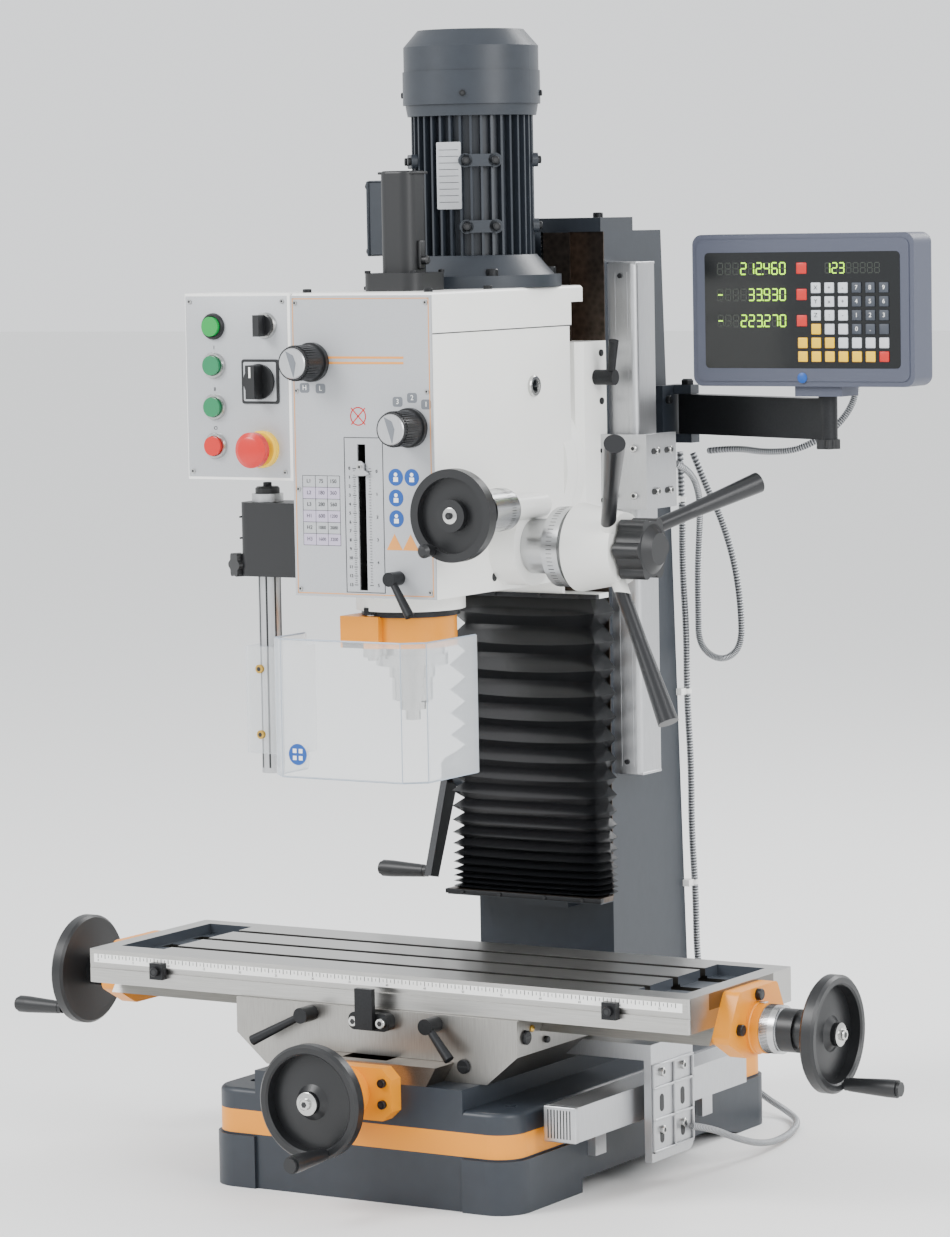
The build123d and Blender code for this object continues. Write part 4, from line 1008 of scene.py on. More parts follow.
def tick_ring(
    name, body, place, count, radius, first, turn, short, tall, every, finish="Black print and painted shade", deep=0.4
):
    """Ring of graduation marks round local Z of a place; short and tall are (length, width)."""
    values = {
        "Count": count, "Radius": radius, "First": first, "Turn": turn,
        "Size": (short[0], short[1], deep * MM),
        "Long size": (tall[0], tall[1], deep * MM), "Long every": every, "Finish": MADE[finish],
    }
    return settled(name, grown(name, "ring", values, None, place), body, None, smooth=False)


def lettering(name, body, words, size, centre, direction, up=Z, finish="Black print and painted shade"):
    """Flat printed figures, centred on a point and facing along a direction."""
    text = bpy.data.curves.new(name, "FONT")
    text.body = words
    text.size = size
    text.align_x, text.align_y = "CENTER", "CENTER"
    text.extrude = 0.12 * MM
    holder = bpy.data.objects.new(name, text)
    bpy.context.scene.collection.objects.link(holder)
    ready = holder.evaluated_get(bpy.context.evaluated_depsgraph_get())
    data = bpy.data.meshes.new_from_object(ready)
    bpy.data.objects.remove(holder)
    data.transform(seat(centre, direction, up))
    return settled(name, data, body, [finish], smooth=False)


def tube_along(mesh, points, radius, sides=10):
    """Round rod that follows a few points."""
    spots = [Vector(point) for point in points]
    for low, high in zip(spots, spots[1:]):
        place = seat(low, high - low)
        reach = (high - low).length
        lathe(mesh, place, [(-radius * 0.2, radius), (reach + radius * 0.2, radius)], sides)


# ------------------------------------------------------------------ stage and cables

CAMERA_AT = Vector((2.774, -4.441, 1.108))
CAMERA_YAW, CAMERA_PITCH, CAMERA_ROLL, CAMERA_LENS = radians(31.59), radians(5.15), radians(-1.04), 133.7


class MILL_OT_stage(bpy.types.Operator):
    """Camera, pale floor and soft studio lights"""

    bl_idname = "mill.stage"
    bl_label = "Stage"

    def execute(self, context):
        sizes = context.scene.mill_stage
        ahead = Vector(
            (-sin(CAMERA_YAW) * cos(CAMERA_PITCH), cos(CAMERA_YAW) * cos(CAMERA_PITCH), -sin(CAMERA_PITCH))
        )
        right = Vector((cos(CAMERA_YAW), sin(CAMERA_YAW), 0))
        over = right.cross(ahead)
        side = right * cos(CAMERA_ROLL) + over * sin(CAMERA_ROLL)
        top = over * cos(CAMERA_ROLL) - right * sin(CAMERA_ROLL)
        lens = bpy.data.cameras.new("Camera")
        lens.lens = CAMERA_LENS
        lens.sensor_width = 36
        camera = bpy.data.objects.new("Camera", lens)
        camera.matrix_world = Matrix.Translation(CAMERA_AT) @ Matrix(
            (side, top, -ahead)
        ).transposed().to_4x4()
        context.scene.collection.objects.link(camera)
        context.scene.camera = camera
        half = sizes.floor_size / 2
        data = bpy.data.meshes.new("Floor")
        data.from_pydata(
            [(-half, -half, 0), (half, -half, 0), (half, half, 0), (-half, half, 0)], [], [(0, 1, 2, 3)]
        )
        data.materials.append(MADE["Floor"])
        floor = bpy.data.objects.new("Floor", data)
        context.scene.collection.objects.link(floor)
        world = bpy.data.worlds.new("Studio")
        context.scene.world = world
        world.use_nodes = True
        world.node_tree.nodes["Background"].inputs[0].default_value = linear("F2F4F6")
        world.node_tree.nodes["Background"].inputs[1].default_value = 1.5
        for name, spot, size, power in (
            ("Key", Vector((-2.2, -3.2, 3.4)), 2.2, sizes.key_power),
            ("Fill", Vector((3.6, -1.2, 2.4)), 2.4, sizes.fill_power),
            ("Back", Vector((1.2, 3.2, 3.0)), 2.0, sizes.fill_power),
        ):
            lamp = bpy.data.lights.new(name, "AREA")
            lamp.shape, lamp.size, lamp.energy = "DISK", size, power
            light = bpy.data.objects.new(name, lamp)
            light.matrix_world = seat(spot, spot - Vector((0, 0.1, 0.6)))
            context.scene.collection.objects.link(light)
        return {"FINISHED"}


CABLES = {
    "cable_dro": (
        "dro_arm", 0.319,
        [
            (352, 315, 925), (352, 353, 918), (347, 368, 878), (330, 352, 842), (296, 322, 816),
            (246, 327, 812), (198, 344, 816), (152, 362, 811),
        ],
    ),
    "cable_z": (
        "frame", 0.598,
        [
            (151, 282, 800), (151, 318, 790), (142, 356, 758), (122, 390, 716), (112, 402, 664),
            (111, 404, 614), (111, 404, 572), (142, 402, 554), (173, 398, 572), (174, 396, 620),
            (166, 396, 676), (148, 397, 728), (126, 397, 770), (112, 394, 806),
        ],
    ),
    "cable_y": (
        "frame", 1.246,
        [
            (281, 62, 62), (283, 104, 52), (288, 158, 30), (288, 220, 12), (280, 290, 6),
            (262, 362, 8), (222, 420, 6), (168, 440, 22), (126, 430, 62), (106, 416, 120),
            (99, 410, 190), (101, 406, 270), (98, 403, 350), (101, 399, 430), (98, 396, 510),
            (101, 392, 590), (98, 389, 670), (101, 386, 740), (100, 384, 808),
        ],
    ),
}


class MILL_OT_cables(bpy.types.Operator):
    """Armoured reader cables"""

    bl_idname = "mill.cables"
    bl_label = "Cables"

    def execute(self, context):
        sizes = context.scene.mill_cables
        for name, (body, length, points) in CABLES.items():
            curve = bpy.data.curves.new(name + "_line", "CURVE")
            curve.dimensions = "3D"
            spline = curve.splines.new("NURBS")
            spline.points.add(len(points) - 1)
            for spot, (x, y, z) in zip(spline.points, points):
                spot.co = (x * MM, y * MM, z * MM, 1.0)
            spline.order_u = 3
            spline.use_endpoint_u = True
            spline.resolution_u = 12
            curve.bevel_depth = sizes.diameter / 2
            curve.bevel_resolution = 4
            curve.use_fill_caps = True
            curve.materials.append(conduit(length, sizes.turn))
            line = bpy.data.objects.new(name + "_line", curve)
            context.scene.collection.objects.link(line)
            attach(line, body)
            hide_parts(name)
        return {"FINISHED"}


class MILL_OT_finishes(bpy.types.Operator):
    """Finishes on the CAD pieces"""

    bl_idname = "mill.finishes"
    bl_label = "Finishes"

    def execute(self, context):
        for finish, names in NODE_FINISH.items():
            for name in names:
                data = FRAME["nodes"][name].data
                data.materials.clear()
                data.materials.append(MADE[finish])
        return {"FINISHED"}


# ------------------------------------------------------------------ the fixed frame


def spline_points(name):
    """Centreline of a finished cable, read from its own spline."""
    line = bpy.data.objects[name + "_line"]
    bare = line.data.copy()
    bare.bevel_depth = 0
    holder = bpy.data.objects.new(name + " bare", bare)
    bpy.context.scene.collection.objects.link(holder)
    data = bpy.data.meshes.new_from_object(holder.evaluated_get(bpy.context.evaluated_depsgraph_get()))
    spots = [vert.co.copy() for vert in data.vertices]
    bpy.data.objects.remove(holder)
    bpy.data.meshes.remove(data)
    return spots


class MILL_OT_bellows(bpy.types.Operator):
    """Folded cloth over the column ways, hung between its two plates"""

    bl_idname = "mill.bellows"
    bl_label = "Bellows"

    def execute(self, context):
        sizes = context.scene.mill_bellows
        count = sizes.folds
        weights = [0.35 + 2.1 * (step / count) ** 1.3 for step in range(count)]
        total = sum(weights)
        tall = BELLOWS_HIGH.z - BELLOWS_LOW.z
        rows = [(BELLOWS_LOW.z, sizes.depth * 0.5, 0.0)]
        floor = BELLOWS_LOW.z
        for weight in weights:
            fold = tall * weight / total
            rows.append((floor + fold * 0.5, 0.0, min(fold * 0.16, 5 * MM)))
            rows.append((floor + fold, sizes.depth * (0.8 + 0.35 * weight), 0.0))
            floor += fold
        half, front, back = BELLOWS_HIGH.x, BELLOWS_LOW.y - 2 * MM, BELLOWS_HIGH.y + 17 * MM
        mesh = bmesh.new()
        skins = []
        for inset in mm(0, 1.1):
            skin = []
            for z, deep, sag in rows:
                drop = deep + inset
                edge = half - drop
                line = [
                    (-edge, back), (-edge, front + drop + 14 * MM), (-edge + 3 * MM, front + drop + 3 * MM)
                ]
                line += [(-edge * 0.82 + edge * 1.64 * step / 10, front + drop) for step in range(11)]
                line += [(edge - 3 * MM, front + drop + 3 * MM), (edge, front + drop + 14 * MM), (edge, back)]
                skin.append(
                    [mesh.verts.new((x, y, z - sag * max(0.0, 1 - (x / half) ** 2))) for x, y in line]
                )
            skins.append(skin)
        outer, inner = skins
        for skin, flip in ((outer, False), (inner, True)):
            for low, high in zip(skin, skin[1:]):
                for step in range(len(low) - 1):
                    face = [low[step], low[step + 1], high[step + 1], high[step]]
                    mesh.faces.new(face[::-1] if flip else face)
        for row_out, row_in in ((outer[0], inner[0]), (outer[-1], inner[-1])):
            for step in range(len(row_out) - 1):
                mesh.faces.new([row_out[step], row_out[step + 1], row_in[step + 1], row_in[step]])
        for side in (0, -1):
            for low in range(len(outer) - 1):
                mesh.faces.new(
                    [outer[low][side], outer[low + 1][side], inner[low + 1][side], inner[low][side]]
                )
        cloth = finished("bellows_cloth", mesh, None, "Rubberised bellows cloth", angle=0.35)
        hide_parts("way_bellows")
        low_point, high_point = BELLOWS_MID.copy(), BELLOWS_MID.copy()
        low_point.z, high_point.z = BELLOWS_LOW.z, BELLOWS_HIGH.z
        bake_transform(cloth)
        for name, body, z, outward in (
            ("low", "frame", BELLOWS_LOW.z, -1), ("high", "z_slide", BELLOWS_HIGH.z, 1)
        ):
            mesh = bmesh.new()
            near, far = sorted((z + outward * 0.2 * MM, z + outward * 5.5 * MM))
            slab(mesh, (-half - 4 * MM, front - 5 * MM, near), (half + 4 * MM, front + 3 * MM, far), 0.6 * MM)
            finished(f"bellows_plate_{name}", mesh, body, "Oil-blackened steel")
            spots = [
                ((x, front - 5 * MM, (near + far) / 2), -Y)
                for x in (-half * 0.8, -half * 0.3, half * 0.3, half * 0.8)
            ]
            socket_screws(f"bellows_screws_{name}", body, spots, 2.4 * MM, 2 * MM)
        return {"FINISHED"}


class MILL_OT_frame_details(bpy.types.Operator):
    """Screws, end caps and clips on the base and the column"""

    bl_idname = "mill.frame_details"
    bl_label = "Frame details"

    def execute(self, context):
        flange = BASE_LOW.y + 4 * MM - 20 * MM
        spots = [((x, flange, CROSS.z + dz), -Y) for x in mm(-47, 47) for dz in mm(-11, 13)]
        socket_screws("y_bracket_screws", "frame", spots, 5 * MM, 5 * MM)
        column_low, column_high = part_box("column_casting")
        cover_low, cover_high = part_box("scale_covers")
        z_cover = Vector((130 * MM, cover_high.y, cover_high.z))
        mesh = bmesh.new()
        for z in (z_cover.z - 1 * MM, z_cover.z - 600 * MM):
            slab(
                mesh, (93 * MM, z_cover.y - 44 * MM, z), (130.6 * MM, z_cover.y + 0.6 * MM, z + 3 * MM),
                0.8 * MM,
            )
        for x in mm(102, 118):
            slab(
                mesh, (x, z_cover.y - 45.4 * MM, z_cover.z - 590 * MM),
                (x + 1 * MM, z_cover.y - 44.9 * MM, z_cover.z - 10 * MM),
            )
        finished("z_cover_trim", mesh, "frame", "Satin aluminium")
        ends = [((110 * MM, z_cover.y - 45 * MM, z), -Y) for z in (z_cover.z - 14 * MM, z_cover.z - 585 * MM)]
        socket_screws("z_cover_screws", "frame", ends, 3 * MM, 2.5 * MM)
        y_front = cover_low.y
        mesh = bmesh.new()
        slab(mesh, (213 * MM, y_front - 2 * MM, 77.5 * MM), (254 * MM, y_front + 6 * MM, 118 * MM), 1.5 * MM)
        slab(mesh, (214 * MM, y_front + 6 * MM, 118 * MM - 1 * MM), (253 * MM, y_front + 7 * MM, 118 * MM))
        finished("y_cover_cap", mesh, "frame", "Satin aluminium")
        # Black bars across the cap's grille: painted shade in its slots.
        tick_row(
            "y_cover_grid", "frame", Matrix.Translation((219 * MM, y_front - 2.2 * MM, 98 * MM)) @ facing(-Y),
            8, 4 * MM, mm(1.2, 32), mm(1.2, 32), 1,
        )
        spots = [((x, column_low.y + 52 * MM + 45 * MM, column_high.z), Z) for x in mm(-60, 60)]
        socket_screws("cap_screws", "frame", spots, 6 * MM, 6 * MM)
        crank = axis_point("z_crank_turn")
        boss = [
            (crank + Vector((-crank.x - 118.3 * MM, 0, 0)) + Vector((0, cos(turn), sin(turn))) * 27 * MM, -X)
            for turn in (pi / 4, 3 * pi / 4, 5 * pi / 4, 7 * pi / 4)
        ]
        socket_screws("crank_boss_screws", "frame", boss, 3 * MM, 3 * MM)
        mesh = bmesh.new()
        route = spline_points("cable_y")
        for height in (0.287, 0.52, 0.75):
            spot = min((p for p in route if p.y < 0.412), key=lambda p: abs(p.z - height))
            lathe(mesh, seat(spot - Z * 3 * MM, Z), mm((0, 5.4), (6, 5.4)), 20)
            slab(
                mesh, (0.0885, spot.y - 16 * MM, spot.z - 4 * MM),
                (spot.x + 1 * MM, spot.y - 3 * MM, spot.z + 4 * MM), 0.5 * MM,
            )
        finished("cable_clips", mesh, "frame", "Printed white")
        arm = axis_point("dro_arm_swing")
        spots = [((105 * MM, arm.y - 26 * MM, arm.z + dz), X) for dz in mm(-22, 22)]
        socket_screws("arm_bracket_screws", "frame", spots, 5 * MM, 5 * MM)
        finished(
            "arm_pin_nut",
            lathe(bmesh.new(), seat((arm.x, arm.y, 889 * MM), Z), mm((0, 8), (5, 8), (7, 6)), 6), "frame",
            "Oil-blackened steel",
        )
        return {"FINISHED"}


# ------------------------------------------------------------------ saddle and table


class MILL_OT_saddle_details(bpy.types.Operator):
    """Gib screws, oilers and the reader bracket's ribs"""

    bl_idname = "mill.saddle_details"
    bl_label = "Saddle details"

    def execute(self, context):
        front = SADDLE_LOW.y
        mesh = bmesh.new()
        dark = bmesh.new()
        for spot, way, radius in (
            (Vector((118 * MM, front, 155 * MM)), -Y, 8 * MM),
            (Vector((SADDLE_HIGH.x, front + 18 * MM, 190 * MM)), X, 8 * MM),
            (Vector((SADDLE_HIGH.x, -100 * MM, 181 * MM)), X, 4 * MM),
            (Vector((SADDLE_HIGH.x, 30 * MM, 181 * MM)), X, 4 * MM),
        ):
            lathe(mesh, seat(spot, way), [(0, radius), (3 * MM, radius), (4 * MM, radius * 0.85)], 32)
            across = seat(spot + way * 3.9 * MM, way)
            # A thin black bar across each screw head: painted shade in its slot.
            cut_out(
                dark, across,
                [(-radius * 0.8, -MM), (radius * 0.8, -MM), (radius * 0.8, MM), (-radius * 0.8, MM)],
                0.3 * MM,
            )
        finished("gib_screws", mesh, "saddle", "Oil-blackened steel")
        finished("gib_screw_slots", dark, "saddle", "Black print and painted shade", smooth=False)
        low, high, mid = node_frame("stop_block")
        spots = [((x, low.y + 7 * MM, low.z + 10 * MM), -Y) for x in (low.x + 9 * MM, high.x - 9 * MM)]
        socket_screws(
            "stop_block_screws", "saddle", spots, 6 * MM, 6 * MM, "Ground bright steel"
        )
        low, high, mid = node_frame("y_reader_bracket")
        mesh, dark = bmesh.new(), bmesh.new()
        face = high.x
        for y in (low.y + 2 * MM, mid.y + 1 * MM, high.y - 5 * MM):
            slab(mesh, (face, y, low.z + 10 * MM), (face + 3 * MM, y + 3 * MM, high.z - 24 * MM), 0.8 * MM)
        for z in (low.z + 10 * MM, low.z + 46 * MM, low.z + 82 * MM, high.z - 26 * MM):
            slab(mesh, (face, low.y + 2 * MM, z), (face + 3 * MM, high.y - 2 * MM, z + 3 * MM), 0.8 * MM)
        finished("y_bracket_ribs", mesh, "saddle", "Satin aluminium")
        # Black round-ended marks for the bracket's slotted holes: painted shade inside them.
        for y in (low.y + 24 * MM, low.y + 72 * MM):
            for z in (low.z + 20 * MM, low.z + 56 * MM):
                cut_out(dark, seat((face, y, z + 9 * MM), X), round_box(9 * MM, 20 * MM, 4.4 * MM), 0.3 * MM)
        finished("y_bracket_slots", dark, "saddle", "Black print and painted shade", smooth=False)
        spots = [
            ((face, y, z), X)
            for y in (low.y + 24 * MM, low.y + 72 * MM) for z in (low.z + 100 * MM, low.z + 34 * MM)
        ]
        socket_screws(
            "y_bracket_screws_side", "saddle", spots, 5 * MM, 4 * MM, "Ground bright steel"
        )
        mesh = bmesh.new()
        for y in mm(-130, 60):
            lathe(mesh, seat((SADDLE_HIGH.x, y, 198 * MM), X), mm((0, 4), (1.5, 4), (3, 1.5)), 20)
        finished("saddle_oilers", mesh, "saddle", "Turned brass")
        return {"FINISHED"}


class MILL_OT_table_details(bpy.types.Operator):
    """Rule, index plates and screws on the table"""

    bl_idname = "mill.table_details"
    bl_label = "Table details"

    def execute(self, context):
        front = TABLE_LOW.y
        half = TABLE_HIGH.x
        finished(
            "table_rule",
            slab(
                bmesh.new(), (-half + 8 * MM, front - 0.6 * MM, TABLE_HIGH.z - 15 * MM),
                (half - 8 * MM, front, TABLE_HIGH.z - 5 * MM),
            ),
            "table", "Printed white", smooth=False,
        )
        place = Matrix.Translation((-half + 14 * MM, front - 0.7 * MM, TABLE_HIGH.z - 7.6 * MM)) @ facing(-Y)
        tick_row("table_rule_marks", "table", place, 155, 5 * MM, mm(0.5, 3.2), mm(0.7, 5), 2)
        for step in range(0, 78, 5):
            spot = (-half + 14 * MM + step * 10 * MM, front - 0.65 * MM, TABLE_HIGH.z - 12.6 * MM)
            lettering(f"rule_number_{step}", "table", str(step), 3.6 * MM, spot, -Y)
        for side in (-1, 1):
            face = side * (half + 20 * MM)
            for dy, z in mm((-44, 206), (48, 206), (0, 239)):
                mesh_spot = ((face, LONG.y + dy, z), X * side)
                socket_screws(
                    f"x_bracket_screw_{side}_{dy * 1000:.0f}", "table", [mesh_spot], 6.5 * MM, 6 * MM
                )
            finished(
                f"x_bracket_collar_{side}",
                lathe(
                    bmesh.new(), seat((face, LONG.y, LONG.z), X * side), mm((0, 29.5), (3, 29.5), (4, 28.5))
                ),
                "table", "Orange-yellow enamel",
            )
            finished(
                f"x_index_plate_{side}",
                slab(
                    bmesh.new(), (face + side * 6 * MM - 5 * MM, LONG.y - 4 * MM, LONG.z + 27.5 * MM),
                    (face + side * 6 * MM + 5 * MM, LONG.y + 4 * MM, LONG.z + 29.2 * MM), 0.5 * MM,
                ),
                "table", "Satin aluminium",
            )
        for name in ("table_stop_left", "table_stop_right"):
            low, _, mid = node_frame(name)
            socket_screws(name + "_screw", name, [((mid.x, low.y, mid.z), -Y)], 5.5 * MM, 5 * MM)
        return {"FINISHED"}


def wheel_dress(name, body, hub, outward, dial):
    """Centre washer and screw of a handwheel, with the marks on its dial."""
    outward = Vector(outward)
    finished(
        name + "_washer", lathe(bmesh.new(), seat(hub, outward), mm((0, 13), (2, 13), (2.6, 12))), body,
        "Ground bright steel",
    )
    socket_screws(
        name + "_screw", body, [(Vector(hub) + outward * 2.5 * MM, outward)], 6.5 * MM, 5 * MM,
        "Ground bright steel",
    )
    spot, radius, width = dial
    tick_ring(
        name + "_marks", body, seat(spot, outward), 100, radius, 0, 2 * pi / 100,
        mm(0.3, 0.55), mm(0.3, 0.7), 10, deep=width,
    )


class MILL_OT_wheels(bpy.types.Operator):
    """Washers, screws and dial marks of the handwheels"""

    bl_idname = "mill.wheels"
    bl_label = "Wheels"

    def execute(self, context):
        low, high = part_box("x_screw")
        wheel_dress(
            "x_wheel_right", "x_drive", (high.x, LONG.y, LONG.z), X,
            ((high.x - 80 * MM, LONG.y, LONG.z), 27 * MM, 9),
        )
        wheel_dress(
            "x_wheel_left", "x_drive", (low.x, LONG.y, LONG.z), -X,
            ((low.x + 58 * MM, LONG.y, LONG.z), 27 * MM, 9),
        )
        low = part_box("y_screw")[0]
        wheel_dress(
            "y_wheel", "y_drive", (0, low.y, CROSS.z), -Y, ((0, low.y + 42 * MM, CROSS.z), 27 * MM, 9)
        )
        low, high, mid = node_frame("fine_feed_wheel")
        hub = Vector((mid.x, low.y, mid.z))
        finished(
            "fine_wheel_washer", lathe(bmesh.new(), seat(hub + Y * 1 * MM, -Y), mm((0, 9), (1.6, 9), (2, 8))),
            "fine_feed_wheel", "Ground bright steel",
        )
        socket_screws("fine_wheel_screw", "fine_feed_wheel", [(hub - Y * 1 * MM, -Y)], 4 * MM, 3 * MM)
        mesh = bmesh.new()
        grip = hub + Vector(mm(-24, 5, -38))
        lathe(mesh, seat(grip, -Y), mm((0, 4), (4, 4), (8, 6.5), (22, 8), (26, 5), (27, 0)), 32)
        finished("fine_wheel_grip", mesh, "fine_feed_wheel", "Black moulded nylon")
        tick_ring(
            "fine_dial_marks", "fine_feed_wheel", seat(hub + Y * 98 * MM, -Y), 50, 24 * MM, 0, 2 * pi / 50,
            mm(0.3, 0.6), mm(0.3, 0.8), 5, deep=8,
        )
        return {"FINISHED"}


# ------------------------------------------------------------------ head


def on_panel(x, z, proud=0.0):
    """Point on the front panel: x from its middle and z from its lower edge, in millimetres."""
    return Vector((x * MM, PANEL_Y - proud * MM, PANEL_LOW.z + z * MM))


class MILL_OT_panel_print(bpy.types.Operator):
    """Border, depth scale, speed table and marks of the front panel"""

    bl_idname = "mill.panel_print"
    bl_label = "Front panel print"

    def execute(self, context):
        width = PANEL_HIGH.x - PANEL_LOW.x
        tall = PANEL_HIGH.z - PANEL_LOW.z
        mesh = bmesh.new()
        for low, high in (
            ((-width / 2 + 3 * MM, 3 * MM), (width / 2 - 3 * MM, 3.9 * MM)),
            ((-width / 2 + 3 * MM, tall - 3.9 * MM), (width / 2 - 3 * MM, tall - 3 * MM)),
            ((-width / 2 + 3 * MM, 3 * MM), (-width / 2 + 3.9 * MM, tall - 3 * MM)),
            ((width / 2 - 3.9 * MM, 3 * MM), (width / 2 - 3 * MM, tall - 3 * MM)),
        ):
            slab(
                mesh, (low[0], PANEL_Y - 0.2 * MM, PANEL_LOW.z + low[1]),
                (high[0], PANEL_Y, PANEL_LOW.z + high[1]),
            )
        for dz in mm(0, 6):
            slab(
                mesh,
                (-46 * MM, PANEL_Y - 0.2 * MM, PANEL_HIGH.z - 76 * MM + dz),
                (56 * MM, PANEL_Y, PANEL_HIGH.z - 73.6 * MM + dz),
            )
        finished("panel_border", mesh, "head", "Printed orange", smooth=False)
        corners = [on_panel(x, z) for x in (-86, 86) for z in (8, 120, 230, 328)]
        socket_screws(
            "panel_screws", "head", [(spot, -Y) for spot in corners], 2.6 * MM, 1.6 * MM,
            "Ground bright steel",
        )
        mesh = bmesh.new()
        for x in (-24.6, 26):
            slab(mesh, on_panel(x, 6) - Y * 0.35 * MM, on_panel(x + 0.7, 178), 0)
        slab(mesh, on_panel(-24.6, 178) - Y * 0.35 * MM, on_panel(26.7, 178.7), 0)
        slab(mesh, on_panel(-24.6, 5.4) - Y * 0.35 * MM, on_panel(26.7, 6.1), 0)
        finished("depth_scale_frame", mesh, "head", "Black print and painted shade", smooth=False)
        for name, x, step, long_every, count in (
            ("mm", -11.5, 2.5 * MM, 4, 53), ("inch", 9, 3.175 * MM, 8, 42)
        ):
            place = Matrix.Translation(on_panel(x, 14, 0.4)) @ facing(-Y) @ Matrix.Rotation(pi / 2, 4, "Z")
            tick_row(
                f"depth_marks_{name}", "head", place, count, step, mm(0.4, 2.4), mm(0.6, 4.5), long_every
            )
        for step in range(14):
            lettering(
                f"depth_number_{step}", "head", str(13 - step), 5 * MM, on_panel(-18, 14 + step * 10, 0.4), -Y
            )
        for step in range(6):
            lettering(
                f"inch_number_{step}", "head", str(5 - step), 5 * MM, on_panel(18, 14 + step * 25.4, 0.4), -Y
            )
        mesh = bmesh.new()
        for row in range(7):
            slab(mesh, on_panel(-81, 57 + row * 13) - Y * 0.2 * MM, on_panel(-31, 57.5 + row * 13), 0)
        for x in (-81, -64, -48, -31.5):
            slab(mesh, on_panel(x, 57) - Y * 0.2 * MM, on_panel(x + 0.5, 135.5), 0)
        finished("speed_table_lines", mesh, "head", "Black print and painted shade", smooth=False)
        mesh = bmesh.new()
        for row in (0, 2, 4):
            slab(mesh, on_panel(-80.5, 57.5 + row * 13) - Y * 0.12 * MM, on_panel(-31.5, 70 + row * 13), 0)
        finished("speed_table_tint", mesh, "head", "Printed lilac", smooth=False)
        speeds = (
            ("L1", "75", "150"), ("L2", "180", "360"), ("L3", "280", "560"), ("H1", "600", "1200"),
            ("H2", "1000", "2000"), ("H3", "1600", "3200"),
        )
        for row, cells in enumerate(speeds):
            for x, word in zip((-72.5, -56, -40), cells):
                lettering(
                    f"speed_{row}_{word}", "head", word, 6.0 * MM if len(word) < 4 else 5.2 * MM,
                    on_panel(x, 129 - row * 13, 0.2), -Y,
                )
        for number, (x, z) in enumerate(((43, 135), (64, 135), (43, 112), (43, 89))):
            finished(
                f"panel_disc_{number}",
                lathe(bmesh.new(), seat(on_panel(x, z), -Y), mm((0, 9.5), (0.25, 9.5)), 40), "head",
                "Printed blue", smooth=False,
            )
            mesh = bmesh.new()
            lathe(mesh, seat(on_panel(x, z + 3), -Y), mm((0, 2.2), (0.4, 2.2)), 20)
            slab(mesh, on_panel(x - 3, z - 5) - Y * 0.4 * MM, on_panel(x + 3, z), 0)
            finished(f"panel_disc_mark_{number}", mesh, "head", "Printed white", smooth=False)
        mesh = bmesh.new()
        for x in (40, 61):
            cut_out(mesh, seat(on_panel(x, 62), -Y), mm((-10.5, -8), (10.5, -8), (0, 10)), 0.2 * MM)
        finished("panel_triangles", mesh, "head", "Printed orange", smooth=False)
        mesh = bmesh.new()
        ring = seat(on_panel(-5, 202), -Y)
        for step in range(40):
            angle = 2 * pi * step / 40
            aim = Matrix.Rotation(angle, 4, "Z")
            cut_out(mesh, ring @ aim, mm((9.2, -0.9), (10.4, -0.9), (10.4, 0.9), (9.2, 0.9)), 0.25 * MM)
        for angle in (pi / 4, -pi / 4):
            aim = Matrix.Rotation(angle, 4, "Z")
            cut_out(mesh, ring @ aim, mm((-13, -0.6), (13, -0.6), (13, 0.6), (-13, 0.6)), 0.3 * MM)
        finished("stopped_change_mark", mesh, "head", "Signal red", smooth=False)
        for joint, words, radius, first in (
            ("range_knob_turn", "HL", 31, -1.95), ("speed_knob_turn", "123", 33, 0.9),
        ):
            hub = axis_point(joint)
            for number, word in enumerate(words):
                angle = first + number * (0.7 if len(words) == 2 else 0.6)
                spot = Vector((hub.x + radius * MM * cos(angle), PANEL_Y, hub.z + radius * MM * sin(angle)))
                finished(
                    f"{joint}_tab_{number}",
                    cut_out(bmesh.new(), seat(spot, -Y), round_box(13 * MM, 11 * MM, 3 * MM), 0.15 * MM),
                    "head", "Printed slate", smooth=False,
                )
                lettering(
                    f"{joint}_word_{number}", "head", word, 8 * MM, spot - Y * 0.3 * MM, -Y,
                    finish="Printed white",
                )
        return {"FINISHED"}


